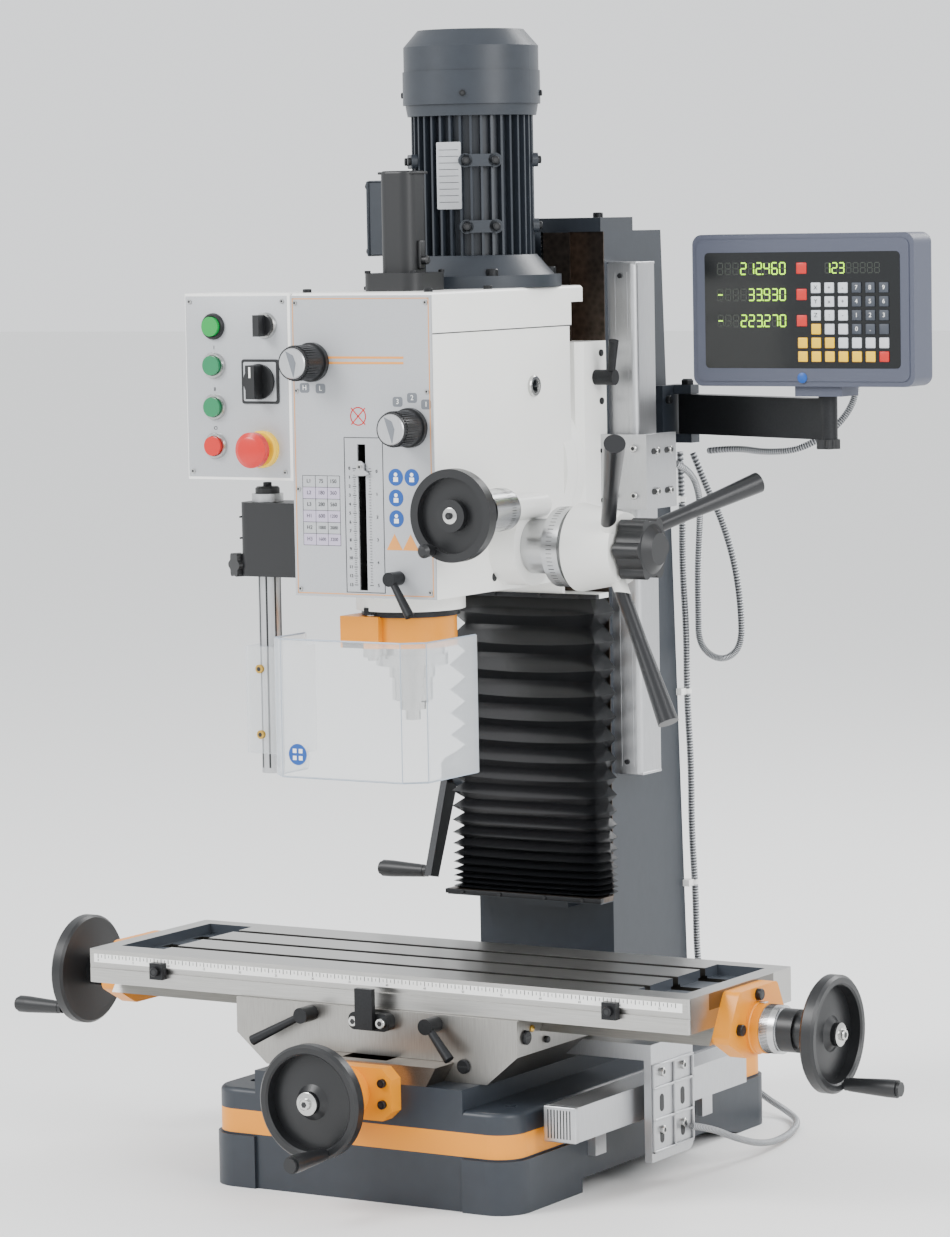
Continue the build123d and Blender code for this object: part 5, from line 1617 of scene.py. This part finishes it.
class MILL_OT_knobs(bpy.types.Operator):
    """Knob faces, pointers and the small parts on the head"""

    bl_idname = "mill.knobs"
    bl_label = "Knobs and head parts"

    def execute(self, context):
        for node in ("range_knob", "speed_knob"):
            low, high, mid = node_frame(node)
            radius = (high.x - low.x) / 2 - 3.5 * MM
            face = seat((mid.x, low.y, mid.z), -Y)
            finished(
                node + "_face", lathe(bmesh.new(), face, [(0, radius * 0.93), (1.2 * MM, radius * 0.88)], 48),
                node, "Satin aluminium",
            )
            mesh = bmesh.new()
            wedge = [
                (-radius * 0.42, radius * 0.74), (radius * 0.12, -radius * 0.84),
                (radius * 0.3, radius * 0.02), (radius * 0.1, radius * 0.5),
            ]
            cut_out(mesh, face @ Matrix.Translation(mm(0, 0, 1.2)), wedge, 0.4 * MM)
            finished(node + "_pointer", mesh, node, "Printed slate", smooth=False)
            tick_ring(
                node + "_grip_ribs", node, seat((mid.x, low.y + 16 * MM, mid.z), -Y), 36, radius + 0.6 * MM,
                0, 2 * pi / 36,
                mm(1.6, 1.8), mm(1.6, 1.8), 1, "Black moulded nylon", 24,
            )
        finished(
            "depth_pointer",
            cut_out(
                bmesh.new(), seat((-1.5 * MM, PANEL_Y - 1.6 * MM, 816.5 * MM), -Y),
                mm(
                    (-12, -4), (-5, -6.5), (5, -6.5), (12, -4), (5, 0), (5, 7), (2, 10), (-2, 10), (-5, 7),
                    (-5, 0),
                ),
                2.5 * MM,
            ),
            "quill", "Satin aluminium", smooth=False,
        )
        pointer_screw = [((-1.5 * MM, PANEL_Y - 4.1 * MM, 820 * MM), -Y)]
        socket_screws("depth_pointer_screw", "quill", pointer_screw, 3 * MM, 1.5 * MM, "Ground bright steel")
        mesh = bmesh.new()
        for z in mm(603, 651):
            lathe(mesh, seat((-20 * MM, -118 * MM, z), Z), mm((0, 10.5), (8, 10.5)), 6)
        finished("depth_rod_nuts", mesh, "quill", "Oil-blackened steel")
        finished(
            "quill_bracket_split", slab(bmesh.new(), mm(-54, -128.3, 613), mm(-26, -127.8, 619)), "quill",
            "Black print and painted shade", smooth=False,
        )
        finished(
            "quill_housing_ring",
            lathe(bmesh.new(), seat((0, SPINDLE.y, 648 * MM), Z), mm((0, 50), (0, 56), (7, 56)), 64), "head",
            "Oil-blackened steel",
        )
        mesh = bmesh.new()
        glass = Vector(mm(93, 54, 901))
        lathe(mesh, seat(glass, X), mm((0, 12), (3, 12), (4, 11), (4, 8), (2.5, 7.5)), 40)
        finished("sight_glass_rim", mesh, "head", "Ground bright steel")
        finished(
            "sight_glass_lens",
            lathe(bmesh.new(), seat(glass + X * 2 * MM, X), mm((0, 7.6), (0.8, 7.6), (1.2, 6.5)), 32), "head",
            "Display window",
        )
        mesh = bmesh.new()
        lathe(mesh, seat(mm(93, -38, 690), X), mm((0, 5), (0.5, 5)), 24)
        lathe(mesh, seat(mm(93, 60, 700), X), mm((0, 7), (3, 7), (4, 6)), 6)
        finished("drain_plug", mesh, "head", "Oil-blackened steel")
        spots = [((x, y, LID_HIGH.z), Z) for x in mm(-80, 80) for y in mm(-146, -20)]
        socket_screws("lid_screws", "head", spots, 5 * MM, 4 * MM)
        mesh = bmesh.new()
        for x in mm(-93.3, 93):
            slab(mesh, (x, HEAD_LOW.y, LID_LOW.z - 0.6 * MM), (x + 0.3 * MM, 142 * MM, LID_LOW.z + 0.6 * MM))
        finished("lid_joint_line", mesh, "head", "Black print and painted shade", smooth=False)
        tick_ring(
            "feed_dial_marks", "feed_hub", seat((171 * MM, FEED.y, FEED.z), X), 60, 45 * MM, 0, 2 * pi / 60,
            mm(0.3, 0.5), mm(0.3, 0.8), 5, deep=7,
        )
        tick_ring(
            "tilt_scale_marks", "z_slide", seat((0, 152 * MM, TILT.z), Y), 121, 98 * MM, -pi / 3,
            2 * pi / 3 / 120,
            mm(0.6, 0.35), mm(0.6, 0.7), 10, deep=7,
        )
        socket_screws(
            "spindle_collar_screws", "spindle",
            [((cos(turn) * 18 * MM, SPINDLE.y + sin(turn) * 18 * MM, 551 * MM), -Z) for turn in (0, pi)],
            3 * MM, 3 * MM,
        )
        return {"FINISHED"}


class MILL_OT_switches(bpy.types.Operator):
    """Bezels, plates and marks of the control box"""

    bl_idname = "mill.switches"
    bl_label = "Switches"

    def execute(self, context):
        face = BOX_LOW.y
        finished(
            "control_plate",
            slab(
                bmesh.new(), (BOX_LOW.x + 3 * MM, face - 0.5 * MM, BOX_LOW.z + 3 * MM),
                (BOX_HIGH.x - 4 * MM, face, BOX_HIGH.z - 3 * MM), 0.2 * MM,
            ),
            "head", "Silver printed panel",
        )
        corners = [
            ((x, face - 0.5 * MM, z), -Y)
            for x in (BOX_LOW.x + 9 * MM, BOX_HIGH.x - 10 * MM) for z in (
                BOX_LOW.z + 9 * MM, BOX_HIGH.z - 9 * MM
            )
        ]
        socket_screws("control_plate_screws", "head", corners, 2.6 * MM, 1.6 * MM, "Ground bright steel")
        for node in ("power_button", "start_button", "reverse_button", "stop_button", "mode_selector"):
            low, _, mid = node_frame(node)
            wide = 15 * MM
            ring, slot = ("Black moulded nylon", "black_plastic") if node == "power_button" else (
                "Ground bright steel", "aluminium"
            )
            finished(
                node + "_bezel",
                lathe(
                    bmesh.new(), seat((mid.x, face - 0.5 * MM, mid.z), -Y),
                    [
                        (0, wide), (2 * MM, wide), (4.4 * MM, wide * 0.92), (4.4 * MM, wide * 0.78),
                        (-0.4 * MM, wide * 0.78),
                    ],
                    48,
                ),
                "head", ring,
            )
        low, _, mid = node_frame("main_switch")
        finished(
            "main_switch_plate",
            cut_out(
                bmesh.new(), seat((mid.x, face - 0.5 * MM, mid.z), -Y), round_box(50 * MM, 50 * MM, 3 * MM),
                1.6 * MM,
            ),
            "head", "Black moulded nylon",
        )
        finished(
            "main_switch_face",
            cut_out(
                bmesh.new(), seat((mid.x, face - 2.1 * MM, mid.z), -Y), round_box(44 * MM, 44 * MM, 2 * MM),
                0.5 * MM,
            ),
            "head", "Silver printed panel",
        )
        finished(
            "main_switch_marks",
            slab(
                bmesh.new(), (mid.x - 1.2 * MM, low.y - 0.2 * MM, mid.z + 5 * MM),
                (mid.x + 1.2 * MM, low.y, mid.z + 17 * MM),
            ),
            "main_switch", "Printed white", smooth=False,
        )
        low, _, mid = node_frame("estop_button")
        finished(
            "estop_collar",
            lathe(
                bmesh.new(), seat((mid.x, face - 0.5 * MM, mid.z), -Y),
                mm((0, 21), (7, 21), (8.5, 19), (8.5, 13), (1, 13)), 56,
            ),
            "head", "Signal yellow",
        )
        finished(
            "estop_dome",
            lathe(bmesh.new(), seat((mid.x, low.y, mid.z), -Y), mm((0, 15), (0.8, 13), (1.0, 0)), 48),
            "estop_button", "Signal red",
        )
        for node, word in (("start_button", "I"), ("stop_button", "O"), ("reverse_button", "II")):
            low, _, mid = node_frame(node)
            lettering(node + "_sign", "head", word, 6 * MM, (mid.x, face - 0.7 * MM, mid.z + 20 * MM), -Y)
        return {"FINISHED"}


# ------------------------------------------------------------------ read-out

SEGMENTS = {
    "0": "abcdef", "1": "bc", "2": "abged", "3": "abgcd", "4": "fgbc", "5": "afgcd", "6": "afgedc",
    "7": "abc", "8": "abcdefg", "9": "abcdfg", "-": "g",
}
STROKES = {
    "a": (0, 1, 1, 0), "b": (0.5, 0.5, 0, 1), "c": (0.5, -0.5, 0, 1), "d": (0, -1, 1, 0),
    "e": (-0.5, -0.5, 0, 1), "f": (-0.5, 0.5, 0, 1), "g": (0, 0, 1, 0),
}


KEY_ROWS = ("wwwddd", "wwwddd", "wwwddd", "ywwddd", "yyywwww", "yyyyyyr")
KEY_WORDS = ("X+-789", "Yx+456", "Z:-123", "   0. ", "       ", "       ")
KEY_FINISHES = {"w": "Soft key grey", "d": "Dark key", "y": "Signal yellow", "r": "Red button lens"}


def digits(mesh, words, centre, tall):
    """Seven-segment figures standing on a face that looks towards -Y."""
    wide = tall * 0.52
    thick = tall * 0.11
    pitch = wide * 1.5
    figures = [word for word in words if word != "."]
    left = centre.x - pitch * (len(figures) - 1) / 2
    place = 0
    for word in words:
        if word == ".":
            spot = Vector((left + pitch * (place - 0.5), centre.y, centre.z - tall / 2))
            slab(
                mesh, spot - Vector((thick / 2, 0.3 * MM, thick / 2)),
                spot + Vector((thick / 2, 0, thick / 2)),
            )
            continue
        for stroke in SEGMENTS.get(word, ""):
            dx, dz, flat, upright = STROKES[stroke]
            spot = Vector((left + pitch * place + dx * wide, centre.y, centre.z + dz * tall / 2))
            reach_x = wide * 0.42 if flat else thick / 2
            reach_z = tall * 0.21 if upright else thick / 2
            slab(mesh, spot - Vector((reach_x, 0.3 * MM, reach_z)), spot + Vector((reach_x, 0, reach_z)))
        place += 1


class MILL_OT_readout(bpy.types.Operator):
    """Window, figures, keys and back of the digital read-out"""

    bl_idname = "mill.readout"
    bl_label = "Read-out"

    def execute(self, context):
        sizes = context.scene.mill_readout
        left, right = READOUT_LOW.x, READOUT_HIGH.x
        low, high = READOUT_HIGH.z - 175 * MM, READOUT_HIGH.z
        face = READOUT_LOW.y
        mesh = bmesh.new()
        outline = round_box(right - left - 12 * MM, high - low - 12 * MM, 9 * MM)
        middle = Vector(((left + right) / 2, face, (low + high) / 2))
        cut_out(mesh, seat(middle + Y * 1 * MM, -Y), outline, 2.2 * MM)
        finished("readout_rim", mesh, "dro_housing", "Slate powder coat", angle=0.5)
        finished(
            "readout_window",
            cut_out(
                bmesh.new(), seat(middle - Y * 1.1 * MM, -Y),
                round_box(right - left - 34 * MM, high - low - 42 * MM, 5 * MM), 0.5 * MM,
            ),
            "dro_housing", "Display window", smooth=False,
        )
        glass = face - 1.7 * MM
        window = Vector((left + 17 * MM, glass, high - 21 * MM))
        lit_mesh, unlit, fields, axis_keys = bmesh.new(), bmesh.new(), bmesh.new(), bmesh.new()
        for row, words in enumerate(("   212.460", "-   33.930", "-  223.270")):
            spot = window + Vector((61 * MM, 0, (-18.5 - 30 * row) * MM))
            digits(unlit, "8" * (len(words) - 1), spot + Y * 0.2 * MM, 13 * MM)
            digits(lit_mesh, words, spot, 13 * MM)
            slab(fields, spot - Vector(mm(52, -0.3, 10.5)), spot + Vector(mm(52, 0.5, 10.5)))
            reach = Vector(mm(6.5, 0.8, 6.5))
            slab(axis_keys, spot + Vector(mm(65, 0, 0)) - reach, spot + Vector(mm(65, 0, 0)) + reach, 1 * MM)
        spot = window + Vector(mm(191, 0, -18.5))
        digits(unlit, "8" * 8, spot + Y * 0.2 * MM, 11.5 * MM)
        digits(lit_mesh, "123     ", spot, 11.5 * MM)
        slab(fields, spot - Vector(mm(45, -0.3, 9.5)), spot + Vector(mm(45, 0.5, 9.5)))
        finished("readout_figures", lit_mesh, "dro_housing", "Lit digit", smooth=False)
        finished("readout_unlit", unlit, "dro_housing", "Unlit segment", smooth=False)
        finished(
            "readout_fields", fields, "dro_housing", "Oil-blackened steel", smooth=False
        )
        finished("readout_axis_keys", axis_keys, "dro_housing", "Red button lens")
        reach = Vector((sizes.key_size / 2, 0, sizes.key_size / 2))
        keys = {finish: bmesh.new() for finish in KEY_FINISHES.values()}
        for row, kinds in enumerate(KEY_ROWS):
            for place, kind in enumerate(reversed(kinds)):
                spot = window + Vector((231 * MM - place * sizes.across, 0, -41 * MM - row * sizes.down))
                slab(keys[KEY_FINISHES[kind]], spot - reach - Y * 1.2 * MM, spot + reach, 1 * MM)
                word = KEY_WORDS[row][-1 - place]
                if word != " ":
                    ink = "Printed white" if kind == "d" else "Black print and painted shade"
                    top = spot - Y * 1.3 * MM
                    lettering(f"readout_key_{row}_{place}", "dro_housing", word, 7 * MM, top, -Y, finish=ink)
        for kind, finish in KEY_FINISHES.items():
            finished(f"readout_keys_{kind}", keys[finish], "dro_housing", finish)
        finished(
            "readout_badge",
            lathe(
                bmesh.new(), seat((middle.x, face - 0.5 * MM, low + 10 * MM), -Y),
                mm((0, 6), (1.5, 6), (2.2, 4.5)), 32,
            ),
            "dro_housing", "Printed blue",
        )
        back = READOUT_HIGH.y - 8 * MM
        finished(
            "readout_back_plate",
            slab(
                bmesh.new(), (left + 30 * MM, back - 0.5 * MM, low + 26 * MM),
                (right - 30 * MM, back + 1.6 * MM, high - 26 * MM), 1 * MM,
            ),
            "dro_housing", "Satin aluminium",
        )
        # Black bars for the vent slots: painted shade inside them.
        place = seat((left + 60 * MM, back + 1.7 * MM, high - 60 * MM), Y)
        flip = 1 if (place.to_3x3() @ Vector((1, 0, 0))).x > 0 else -1
        tick_row("readout_vents", "dro_housing", place, 14, flip * 9 * MM, mm(3.2, 34), mm(3.2, 34), 1)
        spots = [
            ((x, back + 1.5 * MM, z), Y)
            for x in (left + 38 * MM, right - 38 * MM) for z in (low + 34 * MM, high - 34 * MM)
        ]
        socket_screws("readout_back_screws", "dro_housing", spots, 3 * MM, 2 * MM)
        mesh = bmesh.new()
        pivot = axis_point("dro_turn")
        cut_out(mesh, Matrix.Translation((pivot.x, pivot.y, 820 * MM)), lobed(13 * MM, 6, 2 * MM), 11 * MM)
        finished("readout_pivot_knob", mesh, "dro_arm", "Black moulded nylon")
        return {"FINISHED"}


# ------------------------------------------------------------------ motor, guard and reader brackets


class MILL_OT_motor_details(bpy.types.Operator):
    """Lugs, screws, terminal lid, plate and fan grille of the motor"""

    bl_idname = "mill.motor_details"
    bl_label = "Motor details"

    def execute(self, context):
        low, high, mid = node_frame("motor_housing")
        centre = Vector((MOTOR.x, MOTOR.y, 0))
        mesh = bmesh.new()
        screws = []
        for turn in (-0.9, -0.9 + pi / 2, -0.9 + pi, -0.9 + 3 * pi / 2):
            aim = Vector((cos(turn), sin(turn), 0))
            over = aim.cross(Z)
            for z in (low.z + 70 * MM, low.z + 145 * MM):
                place = seat(centre + aim * 66 * MM + Z * z, aim)
                cut_out(mesh, place, round_box(44 * MM, 14 * MM, 3 * MM), 7 * MM)
                for way in (-1, 1):
                    spot = centre + aim * 70 * MM + over * way * 17 * MM + Z * z
                    lathe(mesh, seat(spot - aim * 4 * MM, aim), mm((0, 8), (7, 8)), 24)
                    screws.append((spot + aim * 3 * MM, aim))
        finished("motor_lugs", mesh, "head", "Blue-grey machine enamel")
        socket_screws("motor_lug_screws", "head", screws, 4.5 * MM, 4 * MM)
        flange = [
            (centre + Vector((cos(t), sin(t), 0)) * 90 * MM + Z * (low.z + 14 * MM), Z)
            for t in (-2.4, -0.8, 0.8, 2.4)
        ]
        socket_screws("motor_flange_screws", "head", flange, 7 * MM, 8 * MM)
        mesh = bmesh.new()
        lathe(
            mesh, seat(centre + Z * (high.z - 13 * MM), Z),
            mm((0, 66), (0, 74), (11, 76), (13, 76), (13, 66)), 72,
        )
        lathe(mesh, seat(centre + Z * (low.z + 26 * MM), Z), mm((0, 76), (11, 72), (12, 60)), 72)
        finished("motor_end_rings", mesh, "head", "Blue-grey machine enamel")
        cover_low, cover_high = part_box("motor_fan_cover")
        spots = []
        for turn in (-1.15, 0.42, 1.99, 3.56):
            aim = Vector((cos(turn), sin(turn), 0))
            spots.append((centre + aim * 79 * MM + Z * (cover_low.z + 12 * MM), aim))
        socket_screws("fan_cover_screws", "head", spots, 3.5 * MM, 2.5 * MM)
        # Black bars in rings on the fan cover top: painted shade through the grille's openings.
        for number in range(5):
            tick_ring(
                f"fan_grille_{number}", "head", seat(centre + Z * (cover_high.z - 0.1 * MM), Z),
                10 + 6 * number,
                (14 + number * 9) * MM, 0, 2 * pi / (10 + 6 * number), mm(5.5, 3.4), mm(5.5, 3.4), 1,
            )
        mesh = bmesh.new()
        slab(
            mesh, (low.x - 3 * MM, 48 * MM, low.z + 37 * MM), (low.x + 1 * MM, 118 * MM, low.z + 124 * MM),
            2 * MM,
        )
        slab(
            mesh, (low.x - 2 * MM, 52 * MM, low.z + 122 * MM),
            (low.x + 60 * MM, 114 * MM, low.z + 124.5 * MM), 1 * MM,
        )
        finished("terminal_lid", mesh, "head", "Blue-grey machine enamel")
        spots = [((low.x - 3 * MM, y, low.z + z * MM), -X) for y in mm(54, 112) for z in (43, 118)]
        socket_screws("terminal_screws", "head", spots, 3.5 * MM, 2.5 * MM)
        finished(
            "terminal_gland",
            lathe(
                bmesh.new(), seat((low.x + 28 * MM, 83 * MM, low.z + 39 * MM), -Z),
                mm((0, 9), (8, 9), (10, 7)), 6,
            ),
            "head", "Black moulded nylon",
        )
        mesh = bmesh.new()
        aim = Vector((cos(-1.42), sin(-1.42), 0))
        place = seat(centre + aim * 69 * MM + Z * (low.z + 128 * MM), aim)
        cut_out(mesh, place, round_box(30 * MM, 76 * MM, 1.5 * MM), 1.4 * MM)
        finished("motor_data_plate", mesh, "head", "Silver printed panel", smooth=False)
        tick_row(
            "motor_data_lines", "head",
            place @ Matrix.Translation(mm(0, -30, 1.5)) @ Matrix.Rotation(pi / 2, 4, "Z"),
            9, 7.4 * MM, mm(0.5, 24), mm(0.5, 24), 1,
        )
        low, high, mid = node_frame("drawbar_cover")
        mesh = bmesh.new()
        slab(
            mesh, (mid.x + 20 * MM, mid.y - 6 * MM, low.z + 24 * MM),
            (mid.x + 25 * MM, mid.y + 6 * MM, low.z + 56 * MM), 1.5 * MM,
        )
        lathe(mesh, seat((mid.x + 25 * MM, mid.y, low.z + 34 * MM), X), mm((0, 5), (6, 5), (8, 3)), 24)
        slab(
            mesh, (mid.x - 23.5 * MM, mid.y - 16 * MM, high.z - 4 * MM),
            (mid.x + 23.5 * MM, mid.y + 16 * MM, high.z - 1 * MM), 1 * MM,
        )
        finished("drawbar_cover_latch", mesh, "head", "Black moulded nylon")
        spots = [
            ((mid.x + sx * 30 * MM, mid.y + sy * 30 * MM, low.z + 20 * MM), Z)
            for sx in (-1, 1) for sy in (-1, 1)
        ]
        socket_screws("drawbar_cover_screws", "head", spots, 3.5 * MM, 3 * MM)
        return {"FINISHED"}


class MILL_OT_guard_details(bpy.types.Operator):
    """Knobs, screws and disc of the chip guard"""

    bl_idname = "mill.guard_details"
    bl_label = "Guard details"

    def execute(self, context):
        low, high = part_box("guard_block")
        post_low, post_high, post_mid = node_frame("guard_post")
        shield_low, shield_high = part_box("guard_shield")
        mesh = bmesh.new()
        place = seat((low.x, low.y + 22 * MM, low.z + 12 * MM), Vector((-0.5, -0.85, 0)))
        lathe(mesh, place, mm((-2, 5), (8, 5)), 24)
        cut_out(mesh, place @ Matrix.Translation(mm(0, 0, 8)), lobed(13 * MM, 6, 1.8 * MM), 12 * MM)
        finished("guard_clamp_knob", mesh, "head", "Black moulded nylon", angle=0.5)
        mesh = bmesh.new()
        for z in (low.z + 18 * MM, low.z + 42 * MM, high.z - 18 * MM):
            slab(mesh, (low.x - 0.6 * MM, low.y + 4 * MM, z), (low.x + 0.4 * MM, high.y - 4 * MM, z + 2 * MM))
        finished("guard_block_lines", mesh, "head", "Black moulded nylon")
        mesh = bmesh.new()
        crown = seat((post_mid.x, post_mid.y, high.z + 0.2 * MM), Z)
        lathe(mesh, crown, mm((0, 14), (15, 14), (17, 12)), 40)
        finished("guard_post_crown", mesh, "guard_post", "Black moulded nylon")
        socket_screws(
            "guard_post_screw", "guard_post", [((post_mid.x, post_mid.y, high.z + 17 * MM), Z)], 5 * MM,
            5 * MM,
        )
        # Thin black strips round the post: painted shade in its grooves.
        grooves = tick_ring(
            "guard_post_grooves", "guard_post",
            seat((post_mid.x, post_mid.y, (post_low.z + post_high.z) / 2 - 6 * MM), Z), 8,
            13 * MM, 0.3, 2 * pi / 8, mm(0.3, 2.2), mm(0.3, 2.2), 1, "Black print and painted shade", 300,
        )
        mesh = bmesh.new()
        bends = mm((-112, -118), (-112, -176), (-97, -190), (62, -190), (85, -172), (85, -69))
        for z in (shield_low.z, shield_high.z):
            tube_along(mesh, [Vector((x, y, z)) for x, y in bends], 1 * MM, 8)
        for x, y in bends[1:]:
            tube_along(mesh, [Vector((x, y, shield_low.z)), Vector((x, y, shield_high.z))], 0.6 * MM, 8)
        finished("guard_sheet_edges", mesh, "guard_shield", "Sawn polycarbonate edge")
        spots = [
            ((post_mid.x + 2 * MM, shield_low.y + 47 * MM, z), -Y)
            for z in (shield_low.z + 40 * MM, shield_high.z - 40 * MM)
        ]
        socket_screws("guard_holder_screws", "guard_shield", spots, 5 * MM, 4 * MM, "Turned brass")
        finished(
            "guard_disc",
            lathe(
                bmesh.new(),
                seat((shield_low.x + 105 * MM, shield_low.y - 0.2 * MM, shield_low.z + 26 * MM), -Y),
                mm((0, 12), (0.3, 12)), 40,
            ),
            "guard_shield", "Printed blue", smooth=False,
        )
        mesh = bmesh.new()
        for dx in (-4, 4):
            for dz in (-4, 4):
                spot = Vector(
                    (shield_low.x + (105 + dx) * MM, shield_low.y - 0.5 * MM, shield_low.z + (26 + dz) * MM)
                )
                slab(mesh, spot - Vector(mm(2.4, 0.1, 2.4)), spot + Vector(mm(2.4, 0.1, 2.4)))
        finished("guard_disc_mark", mesh, "guard_shield", "Printed white", smooth=False)
        return {"FINISHED"}


class MILL_OT_reader_details(bpy.types.Operator):
    """Slots and screws of the upper reader bracket"""

    bl_idname = "mill.reader_details"
    bl_label = "Reader bracket details"

    def execute(self, context):
        low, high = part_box("z_reader_bracket")
        dark = bmesh.new()
        # Black round-ended marks for the bracket's slotted holes: painted shade inside them.
        for z in (low.z + 20 * MM, high.z - 20 * MM):
            cut_out(
                dark, seat((high.x, low.y + 22 * MM, z), X), round_box(20 * MM, 7 * MM, 3.4 * MM), 0.3 * MM
            )
            cut_out(
                dark, seat((high.x, high.y - 18 * MM, z), X), round_box(20 * MM, 7 * MM, 3.4 * MM), 0.3 * MM
            )
        finished("z_bracket_slots", dark, "z_slide", "Black print and painted shade", smooth=False)
        spots = [
            ((high.x, y, z), X)
            for y in (low.y + 24 * MM, high.y - 16 * MM) for z in (low.z + 20 * MM, high.z - 20 * MM)
        ]
        spots += [
            ((x, low.y, z), -Y)
            for x in (high.x - 42 * MM, high.x - 16 * MM) for z in (low.z + 16 * MM, high.z - 16 * MM)
        ]
        socket_screws(
            "z_bracket_screws", "z_slide", spots, 4.5 * MM, 4 * MM, "Ground bright steel"
        )
        slide_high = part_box("z_slide_casting")[1]
        gibs = [
            ((94 * MM, slide_high.y - 68 * MM, slide_high.z - z * MM), X) for z in (14, 70, 128, 186, 240)
        ]
        socket_screws("gib_screws_up", "z_slide", gibs, 4 * MM, 2 * MM)
        return {"FINISHED"}


# ------------------------------------------------------------------ registering

GROUPS = (
    ("mill_stage", StageSizes), ("mill_fasteners", FastenerSizes), ("mill_bellows", BellowsSizes),
    ("mill_readout", ReadoutSizes), ("mill_cables", CableSizes),
)
STEPS = (
    MILL_OT_stage, MILL_OT_cables, MILL_OT_finishes, MILL_OT_bellows, MILL_OT_frame_details,
    MILL_OT_saddle_details,
    MILL_OT_table_details, MILL_OT_wheels, MILL_OT_panel_print, MILL_OT_knobs, MILL_OT_switches,
    MILL_OT_readout,
    MILL_OT_motor_details, MILL_OT_guard_details, MILL_OT_reader_details,
)


class MILL_PT_panel(bpy.types.Panel):
    """Milling machine builder"""

    bl_label = "Milling Machine"
    bl_idname = "MILL_PT_panel"
    bl_space_type = "VIEW_3D"
    bl_region_type = "UI"
    bl_category = "Milling Machine"

    def draw(self, context):
        for step in STEPS:
            self.layout.operator(step.bl_idname)


def register():
    for name, group in GROUPS:
        bpy.utils.register_class(group)
        setattr(bpy.types.Scene, name, PointerProperty(type=group))
    for step in (*STEPS, MILL_PT_panel):
        bpy.utils.register_class(step)


def unregister():
    for step in reversed((*STEPS, MILL_PT_panel)):
        bpy.utils.unregister_class(step)
    for name, group in reversed(GROUPS):
        delattr(bpy.types.Scene, name)
        bpy.utils.unregister_class(group)


def main():
    register()
    make_materials()
    for step in STEPS:
        getattr(bpy.ops.mill, step.bl_idname.split(".")[1])()


if __name__ == "__main__":
    main()
